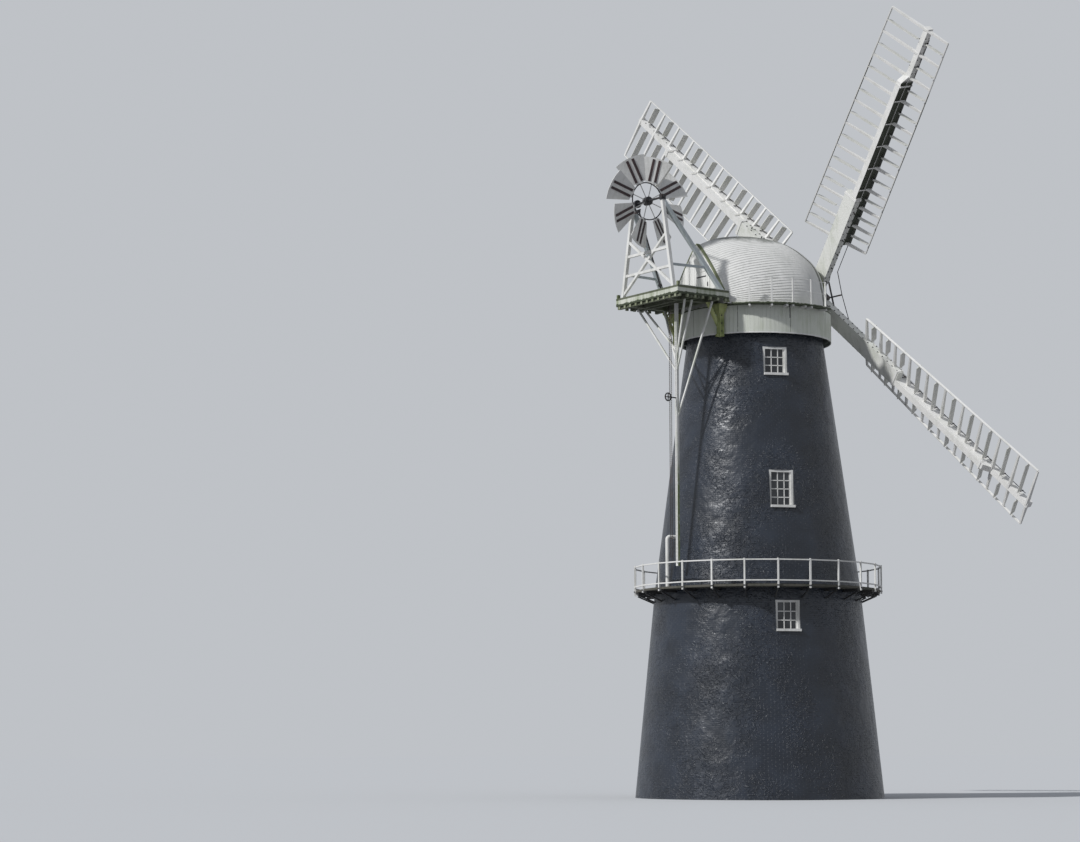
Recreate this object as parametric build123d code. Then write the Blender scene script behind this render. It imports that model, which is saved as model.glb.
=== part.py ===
from build123d import *

import math
import os

# A tall tower windmill of the marsh kind, in millimetres.
# The origin is the centre of the round brick tower at ground level, with +Z up.
# The sails face -Y and the fan stands over the tail at +Y.
# A round tarred tower carries a timber stage. A boat-shaped white cap turns on the tower's curb.
# The cap carries a petticoat, a gallery, a fan stage with its fan, and four double-sided sails.

# Tower wall
TOWER_FOOT_RADIUS = 4700.0
TOWER_STAGE_RADIUS = 3920.0
TOWER_TOP_RADIUS = 2560.0
TOWER_TOP_Z = 17900.0
WALL_THICKNESS = 550.0
WALL_QUARTERS = 4
CURB_WIDTH = 480.0
CURB_HEIGHT = 200.0

# Storeys, windows and doors
GROUND_FLOOR_THICKNESS = 60.0
FLOOR_TOPS = (5300.0, 7800.0, 10150.0, 15100.0)
FLOOR_THICKNESS = 90.0
FLOOR_BEAM_WIDTH = 180.0
FLOOR_BEAM_DEPTH = 260.0
FLOOR_BEAM_OFFSET = 1100.0
WINDOW_BEARING = 156.8
WINDOW_WIDTH = 930.0
WINDOW_CENTRES = (6690.0, 11430.0, 16320.0)
WINDOW_HEIGHTS = (1150.0, 1420.0, 1100.0)
WINDOW_RECESS = 25.0
FRAME_DEPTH = 120.0
FRAME_BORDER = 85.0
SILL_HEIGHT = 90.0
SILL_PROJECTION = 70.0
PANE_THICKNESS = 8.0
DOOR_WIDTH = 950.0
DOOR_HEIGHT = 2000.0
DOOR_BORDER = 90.0
DOOR_LEAF_THICKNESS = 50.0

# Stage round the tower
STAGE_Z = 7800.0
STAGE_RADIUS = 4680.0
STAGE_SIDES = 24
STAGE_DECK_THICKNESS = 60.0
STAGE_RAIL_HEIGHT = 930.0
STAGE_LOW_RAIL_HEIGHT = 150.0
STAGE_POST_SIZE = 60.0
STAGE_RAIL_SIZE = 45.0
STAGE_POST_LAP = 130.0
BRACKET_BEAM_WIDTH = 80.0
BRACKET_BEAM_DEPTH = 110.0
BRACKET_STRUT_SIZE = 50.0
BRACKET_STRUT_DROP = 400.0
BRACKET_STRUT_REACH = 680.0

# Vent pipe on the stage
VENT_DIAMETER = 150.0
VENT_BEARING = 84.0
VENT_WALL_GAP = 18.0
VENT_HEIGHT = 1950.0
VENT_BEND_RADIUS = 110.0

# Turning cap
RUNNING_GAP = 0.3
CAP_RING_INNER = 2150.0
CAP_RING_OUTER = 2720.0
CAP_RING_HEIGHT = 330.0
PETTICOAT_RADIUS = 2950.0
PETTICOAT_THICKNESS = 40.0
PETTICOAT_DROP = 1070.0
GALLERY_RADIUS = 3300.0
GALLERY_FLOOR_THICKNESS = 70.0
GALLERY_END_BEARING = 203.0
GALLERY_POST_RADIUS = 3230.0
GALLERY_POST_SIZE = 55.0
GALLERY_RAIL_HEIGHT = 950.0
GALLERY_POST_STEP = 15.0
GALLERY_FIRST_POST = 137.4
GALLERY_POSTS = 5
GALLERY_ROD = 22.0
GALLERY_ROD_HEIGHTS = (0.5, 0.97)
CAP_SKIN = 60.0

# Cap outline: place along Y, half width at the foot, rise of the ridge over the tower's top, and roundness
CAP_RIBS = (
    (2750.0, 1800.0, 3080.0, 1.12),
    (2000.0, 2230.0, 3390.0, 1.35),
    (1000.0, 2540.0, 3600.0, 1.55),
    (0.0, 2640.0, 3660.0, 1.75),
    (-1000.0, 2450.0, 3530.0, 1.95),
    (-1700.0, 2120.0, 3250.0, 2.1),
    (-2000.0, 1880.0, 3050.0, 2.3),
    (-2350.0, 1430.0, 2600.0, 2.9),
)
RIB_POINTS = 9
GABLE_THICKNESS = 50.0
GABLE_DOOR_WIDTH = 800.0
GABLE_DOOR_HEIGHT = 950.0
GABLE_DOOR_CENTRE_X = -380.0
GABLE_DOOR_THICKNESS = 40.0

# Sheers and fan stage
SHEER_OFFSET = 1150.0
SHEER_WIDTH = 250.0
SHEER_HEIGHT = 330.0
SHEER_FRONT_Y = -2250.0
CROSS_BEAM_Y = 1200.0
CROSS_BEAM_WIDTH = 240.0
FAN_STAGE_HALF_WIDTH = 1930.0
FAN_STAGE_END_Y = 5230.0
FAN_DECK_THICKNESS = 80.0
FASCIA_HEIGHT = 230.0
FASCIA_THICKNESS = 45.0
TAIL_JOIST_YS = (3350.0, 4200.0, 4530.0, 5100.0)
TAIL_JOIST_WIDTH = 120.0
TAIL_POST_SIZE = 200.0
TAIL_POST_DROP = 1180.0
TAIL_POST_X = 1350.0
TAIL_BRACE_FOOT_SHARE = 0.2
TAIL_BRACE_SIZE = 110.0
TAIL_BRACE_RUN = 650.0

# Fan frame
FAN_Y = 5150.0
FAN_RISE = 4500.0
FAN_BEARING_X = 930.0
FAN_POST_FOOT_X = 1570.0
FAN_POST_SIZE = 130.0
FAN_POST_SPARE = 0.05
FAN_BRACE_SIZE = 95.0
FAN_LONG_BRACE_FOOT_Y = 2900.0
FAN_LONG_BRACE_FOOT_X = 1760.0
FAN_LONG_BRACE_SIZE = 150.0
FAN_TIE_HEIGHTS = (0.235, 0.45)
FAN_CROSS_FOOT = 0.02
FAN_CROSS_HEIGHT = 0.62
BEARING_LENGTH = 150.0
BEARING_BORDER = 60.0

# Fan
FAN_RADIUS = 1780.0
FAN_BLADES = 8
FAN_BLADE_TURN = 29.5
FAN_AXLE_DIAMETER = 80.0
FAN_AXLE_GAP = 6.0
FAN_AXLE_STUB = 60.0
FAN_GEAR_X = 620.0
FAN_GEAR_DIAMETER = 300.0
FAN_GEAR_WIDTH = 70.0
FAN_HUB_DIAMETER = 330.0
FAN_HUB_LENGTH = 220.0
FAN_RING_RADIUS = 710.0
FAN_RING_TUBE = 45.0
FAN_SPOKE_DIAMETER = 36.0
BLADE_ROOT_RADIUS = 760.0
BLADE_ROOT_WIDTH = 520.0
BLADE_TIP_WIDTH = 1250.0
BLADE_THICKNESS = 22.0
BLADE_PITCH = -24.0
BLADE_STOCK_SIZE = 60.0
BLADE_STOCK_SHARE = 0.6

# Fan gearing beside the far post
DRIVE_SHAFT_DIAMETER = 60.0
DRIVE_HEAD_X = 560.0
DRIVE_HEAD_DROP = 260.0
DRIVE_RAKE = 1150.0
DRIVE_ARM_SIZE = 60.0
DRIVE_BOX = 240.0

# Chain pole under the fan stage
POLE_BEARING = 96.8
POLE_RADIUS_FROM_AXIS = 4230.0
POLE_SIZE = 110.0
POLE_FOOT_Z = 8590.0
POLE_STRUT_SIZE = 60.0
POLE_STRUT_SPARE = 0.02
# Each strut of the pole: place of its head under the fan stage, and drop of its foot below the tower's top
POLE_STRUTS = (
    (1450.0, 4530.0, 2000.0),
    (1450.0, 4200.0, 1200.0),
    (1150.0, 3500.0, 1700.0),
    (-1450.0, 4530.0, 1500.0),
    (-1450.0, 4200.0, 2000.0),
    (-1600.0, 3350.0, 3800.0),
)
GUIDE_ARM_Z = 14900.0
GUIDE_ARM_LENGTH = 460.0
GUIDE_WHEEL_RADIUS = 165.0
GUIDE_RIM_WIDTH = 35.0
GUIDE_RIM_DEPTH = 40.0
GUIDE_BAR_SIZE = 30.0
GUIDE_ARM_SIZE = 40.0
CHAIN_DIAMETER = 22.0
CHAIN_SPREAD = 90.0
CHAIN_OFFSET = 332.0
CHAIN_FOOT_Z = 8900.0

# Windshaft and sails
SHAFT_TILT = 14.4
HUB_Y = -3050.0
HUB_RISE = 1495.0
SHAFT_DIAMETER = 460.0
SHAFT_LENGTH = 2450.0
SHAFT_BEARINGS = (1000.0, 2200.0)
SHAFT_BEARING_GAP = 8.0
SHAFT_BLOCK_WIDTH = 760.0
SHAFT_BLOCK_LENGTH = 220.0
SHAFT_BLOCK_DROP = 300.0
POLL_HALF_SIZE = 430.0
POLL_HALF_DEPTH = 340.0
SAIL_REST_ANGLE = 44.7
STOCK_WIDTH = 620.0
STOCK_DEPTH = 280.0
STOCK_REACH = 5150.0
STOCK_PAIR_GAP = 10.0
WHIP_WIDTH = 280.0
WHIP_DEPTH = 430.0
WHIP_TIP_WIDTH = 220.0
WHIP_TIP_DEPTH = 250.0
WHIP_TIP = 12650.0
STIFFENER_TIP = 10600.0
STIFFENER_CHAMFER = 260.0
STIFFENER_SHARE = 0.86
HEEL = 3000.0
INNER_BAYS = 3
INNER_BAY = 846.0
OUTER_BAYS = 7
OUTER_BAY = 1004.0
DRIVING_WIDTH = 1710.0
LEADING_WIDTH = 1020.0
HEEL_WEATHER = 24.4
TIP_WEATHER = 10.0
BAR_HEIGHT = 80.0
BAR_ROOT_DEPTH = 160.0
BAR_TIP_DEPTH = 60.0
BAR_SEAT = 0.25
HEMLATH_HEIGHT = 85.0
HEMLATH_THICKNESS = 32.0
SHUTTER_CHORD = 280.0
SHUTTER_THICKNESS = 24.0
SHUTTER_OPENING = 78.0
SHUTTER_EDGE_GAP = 60.0
SHUTTER_PIN = 22.0
DRIVING_SHUTTER = 1420.0
LEADING_SHUTTER = 700.0
INNER_SHUTTER_SHARE = 0.58
STRIKING_ROD_DIAMETER = 60.0
SPIDER_REACH = 600.0
SPIDER_FORWARD = 620.0
SPIDER_NOSE = 120.0
SPIDER_ARM_WIDTH = 60.0
SPIDER_ARM_DEPTH = 40.0

# Places that follow from the sizes above
FAR_BEARING = WINDOW_BEARING + 180.0
STAGE_SOLE_Z = STAGE_Z - STAGE_DECK_THICKNESS
TIERS = (("lower", 0.0, STAGE_Z), ("upper", STAGE_Z, TOWER_TOP_Z))
FAN_Z = TOWER_TOP_Z + FAN_RISE
HUB_Z = TOWER_TOP_Z + HUB_RISE
CURB_TOP_Z = TOWER_TOP_Z + CURB_HEIGHT
CAP_RING_Z = CURB_TOP_Z + RUNNING_GAP
GALLERY_UNDER_Z = CAP_RING_Z + CAP_RING_HEIGHT
CAP_FOOT_Z = GALLERY_UNDER_Z + GALLERY_FLOOR_THICKNESS
SHEER_TOP_Z = CAP_FOOT_Z + SHEER_HEIGHT
FAN_DECK_Z = SHEER_TOP_Z + FAN_DECK_THICKNESS
FAN_POST_TOP_Z = FAN_Z - BEARING_BORDER - FAN_AXLE_DIAMETER / 2
WEATHER_STEP = (HEEL_WEATHER - TIP_WEATHER) / (INNER_BAYS * INNER_BAY + OUTER_BAYS * OUTER_BAY)


def at_bearing(radius, bearing, z=0.0):
    """Point at a radius from the tower's axis, with the bearing in degrees from +X."""
    turn = math.radians(bearing)
    return Vector(radius * math.cos(turn), radius * math.sin(turn), z)


def bar_between(start, end, width, depth, side=None):
    """Square timber from one point to another, with its depth square to the side direction."""
    start = Vector(*start)
    end = Vector(*end)
    along = end - start
    side = Vector(*(side or (0, 0, 1)))
    if along.cross(side).length < 1e-6 * along.length:
        side = Vector(1, 0, 0)
    plane = Plane(origin=start, x_dir=along.cross(side), z_dir=along)
    return extrude(plane * Rectangle(width, depth), along.length)


def rod_between(start, end, diameter):
    """Round rod from one point to another."""
    start = Vector(*start)
    end = Vector(*end)
    along = end - start
    return extrude(Plane(origin=start, z_dir=along) * Circle(diameter / 2), along.length)


def fused(shapes):
    """One shape from many that touch."""
    shapes = list(shapes)
    return shapes[0].fuse(*shapes[1:]) if len(shapes) > 1 else shapes[0]


def grouped(shapes):
    """Separate solids kept together in one compound."""
    return Compound(children=[solid for shape in shapes for solid in shape.solids()])


def common(shape, other):
    """The part of a shape that lies inside another."""
    return grouped([shape.intersect(other)])


def write(name, shape):
    """Writes one sub-part."""
    solids = shape.solids()
    export_step(solids[0] if len(solids) == 1 else Compound(children=solids), f"parts/{name}.step")


def tower_radius(z):
    """Outer radius of the wall: two straight batters that meet at the stage."""
    if z <= STAGE_Z:
        share = z / STAGE_Z
        return TOWER_FOOT_RADIUS + share * (TOWER_STAGE_RADIUS - TOWER_FOOT_RADIUS)
    share = (z - STAGE_Z) / (TOWER_TOP_Z - STAGE_Z)
    return TOWER_STAGE_RADIUS + share * (TOWER_TOP_RADIUS - TOWER_STAGE_RADIUS)


def wall_profile(low, high):
    """Section of the wall between two levels, on the XZ plane."""
    outer_low = tower_radius(low)
    outer_high = tower_radius(high)
    corners = (
        (outer_low, low),
        (outer_high, high),
        (outer_high - WALL_THICKNESS, high),
        (outer_low - WALL_THICKNESS, low),
    )
    return Plane.XZ * Polygon(*corners, align=None)


def tower_solid(inset=0.0):
    """The whole tower as a solid, or the room inside it when inset by the wall's thickness."""
    corners = (
        (0, 0),
        (TOWER_FOOT_RADIUS - inset, 0),
        (TOWER_STAGE_RADIUS - inset, STAGE_Z),
        (TOWER_TOP_RADIUS - inset, TOWER_TOP_Z),
        (0, TOWER_TOP_Z),
    )
    return revolve(Plane.XZ * Polygon(*corners, align=None), Axis.Z)


def radial_box(bearing, inner, outer, width, low, high):
    """Upright box that runs outward along a bearing."""
    box = Pos((inner + outer) / 2, 0, (low + high) / 2) * Box(outer - inner, width, high - low)
    return Rot(0, 0, bearing) * box


def window_openings(bearing):
    """Boxes that cut one column of windows through the wall."""
    boxes = []
    for centre, height in zip(WINDOW_CENTRES, WINDOW_HEIGHTS):
        outer = tower_radius(centre)
        inner = outer - 2 * WALL_THICKNESS
        low = centre - height / 2
        boxes.append(radial_box(bearing, inner, outer + WALL_THICKNESS, WINDOW_WIDTH, low, low + height))
    return boxes


def door_opening(bearing, floor_z):
    """Box that cuts a doorway through the wall above a floor."""
    outer = tower_radius(floor_z)
    inner = outer - 2 * WALL_THICKNESS
    return radial_box(bearing, inner, outer + WALL_THICKNESS, DOOR_WIDTH, floor_z, floor_z + DOOR_HEIGHT)


def tower_walls():
    """Wall in two tiers of four quarters, with the windows and doorways cut through."""
    cuts = window_openings(WINDOW_BEARING) + window_openings(FAR_BEARING)
    cuts += [door_opening(FAR_BEARING, 0.0), door_opening(FAR_BEARING, STAGE_Z)]
    step = 360.0 / WALL_QUARTERS
    for tier, low, high in TIERS:
        profile = wall_profile(low, high)
        ring_sector = revolve(profile, Axis.Z, revolution_arc=step)
        for quarter in range(WALL_QUARTERS):
            turn = WINDOW_BEARING - step / 2 + quarter * step
            segment = Rot(0, 0, turn) * ring_sector
            if quarter % 2 == 0:
                segment = segment.cut(*cuts)
            write(f"tower_wall_{tier}_{quarter + 1}", segment)


def ground_floor():
    """Paved floor on the ground inside the wall."""
    paving = extrude(Circle(TOWER_FOOT_RADIUS), GROUND_FLOOR_THICKNESS)
    write("ground_floor", common(paving, tower_solid(WALL_THICKNESS)))


def timber_floors():
    """Boarded floors on two beams each, where the window rows and the stage door show one."""
    room = tower_solid(WALL_THICKNESS)
    floors = []
    for top in FLOOR_TOPS:
        low = top - FLOOR_THICKNESS - FLOOR_BEAM_DEPTH
        boards = radial_box(0, -TOWER_FOOT_RADIUS, TOWER_FOOT_RADIUS, 2 * TOWER_FOOT_RADIUS,
                            top - FLOOR_THICKNESS, top)
        beams = [
            Pos(0, side * FLOOR_BEAM_OFFSET, low + FLOOR_BEAM_DEPTH / 2)
            * Box(2 * TOWER_FOOT_RADIUS, FLOOR_BEAM_WIDTH, FLOOR_BEAM_DEPTH)
            for side in (-1, 1)
        ]
        floors.append(common(fused([boards, *beams]), room))
    write("timber_floors", grouped(floors))


def curb():
    """Flat ring on the wall's top that the cap turns on."""
    ring = Circle(TOWER_TOP_RADIUS) - Circle(TOWER_TOP_RADIUS - CURB_WIDTH)
    write("curb_ring", extrude(Pos(0, 0, TOWER_TOP_Z) * ring, CURB_HEIGHT))


def window_parts():
    """White frames with deep sills, and one dark pane in each."""
    frames = []
    panes = []
    for bearing in (WINDOW_BEARING, FAR_BEARING):
        for centre, height in zip(WINDOW_CENTRES, WINDOW_HEIGHTS):
            low = centre - height / 2
            high = centre + height / 2
            face = tower_radius(high) - WINDOW_RECESS
            border = radial_box(bearing, face - FRAME_DEPTH, face, WINDOW_WIDTH, low, high)
            light = radial_box(bearing, face - 2 * FRAME_DEPTH, face + FRAME_DEPTH,
                               WINDOW_WIDTH - 2 * FRAME_BORDER, low + FRAME_BORDER, high - FRAME_BORDER)
            sill = radial_box(bearing, face - FRAME_DEPTH, tower_radius(low) + SILL_PROJECTION,
                              WINDOW_WIDTH, low, low + SILL_HEIGHT)
            frames.append(fused([border.cut(light), sill]))
            middle = face - FRAME_DEPTH / 2
            panes.append(radial_box(bearing, middle - PANE_THICKNESS / 2, middle + PANE_THICKNESS / 2,
                                    WINDOW_WIDTH - 2 * FRAME_BORDER, low + max(FRAME_BORDER, SILL_HEIGHT),
                                    high - FRAME_BORDER))
    write("window_frames", grouped(frames))
    write("window_panes", grouped(panes))


def door_parts():
    """Frames and leaves of the ground door and of the door to the stage."""
    frames = []
    leaves = []
    for floor_z in (0.0, STAGE_Z):
        face = tower_radius(floor_z + DOOR_HEIGHT) - WINDOW_RECESS
        border = radial_box(FAR_BEARING, face - FRAME_DEPTH, face, DOOR_WIDTH, floor_z, floor_z + DOOR_HEIGHT)
        passage = radial_box(FAR_BEARING, face - 2 * FRAME_DEPTH, face + FRAME_DEPTH,
                             DOOR_WIDTH - 2 * DOOR_BORDER, floor_z, floor_z + DOOR_HEIGHT - DOOR_BORDER)
        frames.append(border.cut(passage))
        leaves.append(radial_box(FAR_BEARING, face - DOOR_LEAF_THICKNESS - DOOR_BORDER / 2,
                                 face - DOOR_BORDER / 2, DOOR_WIDTH - 2 * DOOR_BORDER,
                                 floor_z, floor_z + DOOR_HEIGHT - DOOR_BORDER))
    write("door_frames", grouped(frames))
    write("door_leaves", grouped(leaves))


def stage():
    """Deck of 24 straight sides round the tower, its brackets, and its railing."""
    core = tower_solid()
    outline = RegularPolygon(STAGE_RADIUS, STAGE_SIDES, major_radius=True)
    deck = extrude(Pos(0, 0, STAGE_SOLE_Z) * outline, STAGE_DECK_THICKNESS).cut(core)
    write("stage_deck", deck)

    beam_reach = STAGE_RADIUS * math.cos(math.pi / STAGE_SIDES) - STAGE_POST_SIZE
    beam_low = STAGE_SOLE_Z - BRACKET_BEAM_DEPTH
    wall_inside = tower_radius(STAGE_Z) - WALL_THICKNESS / 2
    beam = radial_box(0, wall_inside, beam_reach, BRACKET_BEAM_WIDTH, beam_low, STAGE_SOLE_Z)
    strut_top = Vector(tower_radius(beam_low) + BRACKET_STRUT_REACH, 0, beam_low + BRACKET_STRUT_SIZE / 2)
    strut_foot = Vector(wall_inside, 0, beam_low - BRACKET_STRUT_DROP)
    strut = bar_between(strut_foot, strut_top, BRACKET_STRUT_SIZE, BRACKET_STRUT_SIZE)
    bracket = fused([beam, strut]).cut(core)
    step = 360.0 / STAGE_SIDES
    turns = [side * step for side in range(STAGE_SIDES)]
    write("stage_brackets", grouped(Rot(0, 0, turn) * bracket for turn in turns))

    post_radius = STAGE_RADIUS + STAGE_POST_SIZE / 2
    post_low = STAGE_SOLE_Z - STAGE_POST_LAP + STAGE_DECK_THICKNESS
    rail_top = STAGE_Z + STAGE_RAIL_HEIGHT
    pieces = []
    for turn in turns:
        foot = at_bearing(post_radius, turn, post_low)
        top = at_bearing(post_radius, turn, rail_top)
        outward = at_bearing(1, turn)
        pieces.append(bar_between(foot, top, STAGE_POST_SIZE, STAGE_POST_SIZE, outward))
        for height in (STAGE_LOW_RAIL_HEIGHT, STAGE_RAIL_HEIGHT - STAGE_RAIL_SIZE / 2):
            rail_z = STAGE_Z + height
            pieces.append(bar_between(at_bearing(post_radius, turn, rail_z),
                                      at_bearing(post_radius, turn + step, rail_z),
                                      STAGE_RAIL_SIZE, STAGE_RAIL_SIZE))
    write("stage_railing", fused(pieces))


def vent_pipe():
    """Upright white pipe on the stage that bends into the wall."""
    radius = tower_radius(STAGE_Z) + VENT_WALL_GAP + VENT_DIAMETER / 2
    foot = at_bearing(radius, VENT_BEARING, STAGE_Z)
    top = at_bearing(radius, VENT_BEARING, STAGE_Z + VENT_HEIGHT)
    inside = at_bearing(radius - 2 * WALL_THICKNESS, VENT_BEARING, STAGE_Z + VENT_HEIGHT)
    path = FilletPolyline(foot, top, inside, radius=VENT_BEND_RADIUS)
    section = Plane(origin=foot, z_dir=(0, 0, 1)) * Circle(VENT_DIAMETER / 2)
    pipe = sweep(section, path=path)
    write("vent_pipe", pipe.cut(tower_solid()))


def cap_rib(y, half_width, ridge_rise, roundness, inset=0.0):
    """Arched section of the cap: a superellipse of the given roundness."""
    width = half_width - inset
    height = TOWER_TOP_Z + ridge_rise - CAP_FOOT_Z - inset
    right = []
    for index in range(RIB_POINTS):
        turn = math.pi / 2 * index / (RIB_POINTS - 1)
        x = width * max(math.cos(turn), 0.0) ** (2 / roundness)
        z = CAP_FOOT_Z + height * math.sin(turn) ** (2 / roundness)
        right.append((x, y, z))
    left = [(-x, y, z) for x, y, z in reversed(right[:-1])]
    arch = Spline(*right, *left)
    return make_face([arch, Line(arch @ 1, arch @ 0)])


def cap_solid(inset=0.0):
    """Boat-shaped solid through all the ribs."""
    return loft([cap_rib(*rib, inset=inset) for rib in CAP_RIBS])


def sheer_beams():
    """The two long sheers that carry the cap and run out under the fan stage."""
    length = FAN_STAGE_END_Y - FASCIA_THICKNESS - SHEER_FRONT_Y
    middle = SHEER_FRONT_Y + length / 2
    return [
        Pos(side * SHEER_OFFSET, middle, CAP_FOOT_Z + SHEER_HEIGHT / 2)
        * Box(SHEER_WIDTH, length, SHEER_HEIGHT)
        for side in (-1, 1)
    ]


def cap_structure():
    """Ring on the curb, sheers, cross beam, the seats of the shaft bearings, and the tail joists."""
    ring = extrude(Pos(0, 0, CAP_RING_Z) * (Circle(CAP_RING_OUTER) - Circle(CAP_RING_INNER)), CAP_RING_HEIGHT)
    write("cap_ring", ring)
    beams = sheer_beams()
    beams.append(Pos(0, CROSS_BEAM_Y, CAP_FOOT_Z + SHEER_HEIGHT / 2)
                 * Box(2 * SHEER_OFFSET, CROSS_BEAM_WIDTH, SHEER_HEIGHT))
    for distance in SHAFT_BEARINGS:
        seat = shaft_point(distance)
        height = seat.Z - SHAFT_BLOCK_DROP - CAP_FOOT_Z
        beams.append(Pos(0, seat.Y, CAP_FOOT_Z + height / 2)
                     * Box(2 * SHEER_OFFSET + SHEER_WIDTH, CROSS_BEAM_WIDTH, height))
    for y in TAIL_JOIST_YS:
        span = 2 * (FAN_STAGE_HALF_WIDTH - FASCIA_THICKNESS)
        beams.append(Pos(0, y, CAP_FOOT_Z + SHEER_HEIGHT / 2) * Box(span, TAIL_JOIST_WIDTH, SHEER_HEIGHT))
    write("cap_sheers", fused(beams))


def cap_cover():
    """Hollow boarded shell with a round hole for the windshaft, its rear gable and gable door."""
    outer = cap_solid()
    inner = cap_solid(CAP_SKIN)
    front_y = CAP_RIBS[-1][0]
    rear_y = CAP_RIBS[0][0]
    depth = rear_y - front_y - CAP_SKIN
    behind_front = Pos(0, rear_y - depth / 2, CAP_FOOT_Z) * Box(2 * TOWER_FOOT_RADIUS, depth, TOWER_TOP_Z)
    hollow = common(inner, behind_front)
    shell = outer.cut(hollow)
    shaft_hole = shaft_frame() * rod_between((0, -SHAFT_BEARINGS[0], 0), (0, 0, 0),
                                             SHAFT_DIAMETER + 2 * CAP_SKIN)
    sheers = sheer_beams()
    write("cap_shell", shell.cut(shaft_hole, *sheers))

    gable_face = cap_rib(*CAP_RIBS[0])
    gable = extrude(gable_face, GABLE_THICKNESS, dir=(0, 1, 0))
    door_low = FAN_DECK_Z
    doorway = Pos(GABLE_DOOR_CENTRE_X, rear_y, door_low + GABLE_DOOR_HEIGHT / 2) * Box(
        GABLE_DOOR_WIDTH, 4 * GABLE_THICKNESS, GABLE_DOOR_HEIGHT)
    write("rear_gable", gable.cut(doorway, *sheers))
    door = Pos(GABLE_DOOR_CENTRE_X, rear_y + GABLE_THICKNESS - GABLE_DOOR_THICKNESS / 2,
               door_low + GABLE_DOOR_HEIGHT / 2) * Box(
        GABLE_DOOR_WIDTH, GABLE_DOOR_THICKNESS, GABLE_DOOR_HEIGHT)
    write("gable_door", door)


def gallery_sector(inner, outer, start, end):
    """Flat sector of a ring between two bearings."""
    ring = Circle(outer) - Circle(inner)
    reach = 2 * outer
    middle = (start + end) / 2
    rim = [at_bearing(reach, bearing) for bearing in (start, middle, end)]
    return ring & Polygon((0, 0), *[(point.X, point.Y) for point in rim], align=None)


def gallery():
    """Petticoat, gallery floor and railing round both sides of the cap."""
    skirt = Circle(PETTICOAT_RADIUS) - Circle(PETTICOAT_RADIUS - PETTICOAT_THICKNESS)
    write("petticoat", extrude(Pos(0, 0, GALLERY_UNDER_Z - PETTICOAT_DROP) * skirt, PETTICOAT_DROP))

    start = 90.0 + math.degrees(math.asin(FAN_STAGE_HALF_WIDTH / GALLERY_RADIUS))
    ring = Circle(PETTICOAT_RADIUS) - Circle(CAP_RING_INNER)
    near = gallery_sector(CAP_RING_INNER, GALLERY_RADIUS, start, GALLERY_END_BEARING)
    floor = ring + near + mirror(near, Plane.YZ)
    write("gallery_floor", extrude(Pos(0, 0, GALLERY_UNDER_Z) * floor, GALLERY_FLOOR_THICKNESS))

    pieces = []
    for index in range(GALLERY_POSTS):
        bearing = GALLERY_FIRST_POST + index * GALLERY_POST_STEP
        foot = at_bearing(GALLERY_POST_RADIUS, bearing, CAP_FOOT_Z)
        top = at_bearing(GALLERY_POST_RADIUS, bearing, CAP_FOOT_Z + GALLERY_RAIL_HEIGHT)
        pieces.append(bar_between(foot, top, GALLERY_POST_SIZE, GALLERY_POST_SIZE, at_bearing(1, bearing)))
        if index + 1 < GALLERY_POSTS:
            for share in GALLERY_ROD_HEIGHTS:
                z = CAP_FOOT_Z + share * GALLERY_RAIL_HEIGHT
                pieces.append(rod_between(at_bearing(GALLERY_POST_RADIUS, bearing, z),
                                          at_bearing(GALLERY_POST_RADIUS, bearing + GALLERY_POST_STEP, z),
                                          GALLERY_ROD))
    near_rail = fused(pieces)
    write("gallery_railing", grouped([near_rail, mirror(near_rail, Plane.YZ)]))


def fan_stage():
    """Deck behind the gable with its fascia boards, and the two posts that stiffen it below."""
    front_y = CAP_RIBS[0][0] + GABLE_THICKNESS
    width = 2 * FAN_STAGE_HALF_WIDTH
    length = FAN_STAGE_END_Y - front_y
    deck_z = FAN_DECK_Z - FAN_DECK_THICKNESS / 2
    deck = Pos(0, front_y + length / 2, deck_z) * Box(width, length, FAN_DECK_THICKNESS)
    fascia_z = SHEER_TOP_Z - FASCIA_HEIGHT / 2
    rear_board = Box(width, FASCIA_THICKNESS, FASCIA_HEIGHT)
    rear = Pos(0, FAN_STAGE_END_Y - FASCIA_THICKNESS / 2, fascia_z) * rear_board
    sides = [
        Pos(side * (FAN_STAGE_HALF_WIDTH - FASCIA_THICKNESS / 2), front_y + length / 2, fascia_z)
        * Box(FASCIA_THICKNESS, length, FASCIA_HEIGHT)
        for side in (-1, 1)
    ]
    write("fan_stage_deck", deck)
    fascia_frame = fused([rear, *sides])
    write("fan_stage_fascia", fascia_frame)

    brackets = []
    inner_x = TAIL_POST_X - TAIL_POST_SIZE / 2
    post_y = math.sqrt(PETTICOAT_RADIUS ** 2 - inner_x ** 2) + TAIL_POST_SIZE / 2
    below = Pos(0, 0, GALLERY_UNDER_Z - TOWER_TOP_Z / 2) * Box(TOWER_TOP_Z, TOWER_TOP_Z, TOWER_TOP_Z)
    for side in (-1, 1):
        foot = Vector(side * TAIL_POST_X, post_y, GALLERY_UNDER_Z - TAIL_POST_DROP)
        top = Vector(side * TAIL_POST_X, post_y, GALLERY_UNDER_Z)
        post = bar_between(foot, top, TAIL_POST_SIZE, TAIL_POST_SIZE, (0, 1, 0))
        brace_foot = foot + Vector(0, 0, TAIL_POST_DROP * TAIL_BRACE_FOOT_SHARE)
        brace_top = Vector(side * TAIL_POST_X, post_y + TAIL_BRACE_RUN, CAP_FOOT_Z + TAIL_BRACE_SIZE)
        brace = bar_between(brace_foot, brace_top, TAIL_BRACE_SIZE, TAIL_BRACE_SIZE, (1, 0, 0))
        under_stage = Pos(0, 0, CAP_FOOT_Z - TOWER_TOP_Z / 2) * Box(TOWER_TOP_Z, TOWER_TOP_Z, TOWER_TOP_Z)
        brackets.append(fused([common(post, below), common(brace, under_stage)]))
    write("tail_brackets", grouped(brackets))


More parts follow.
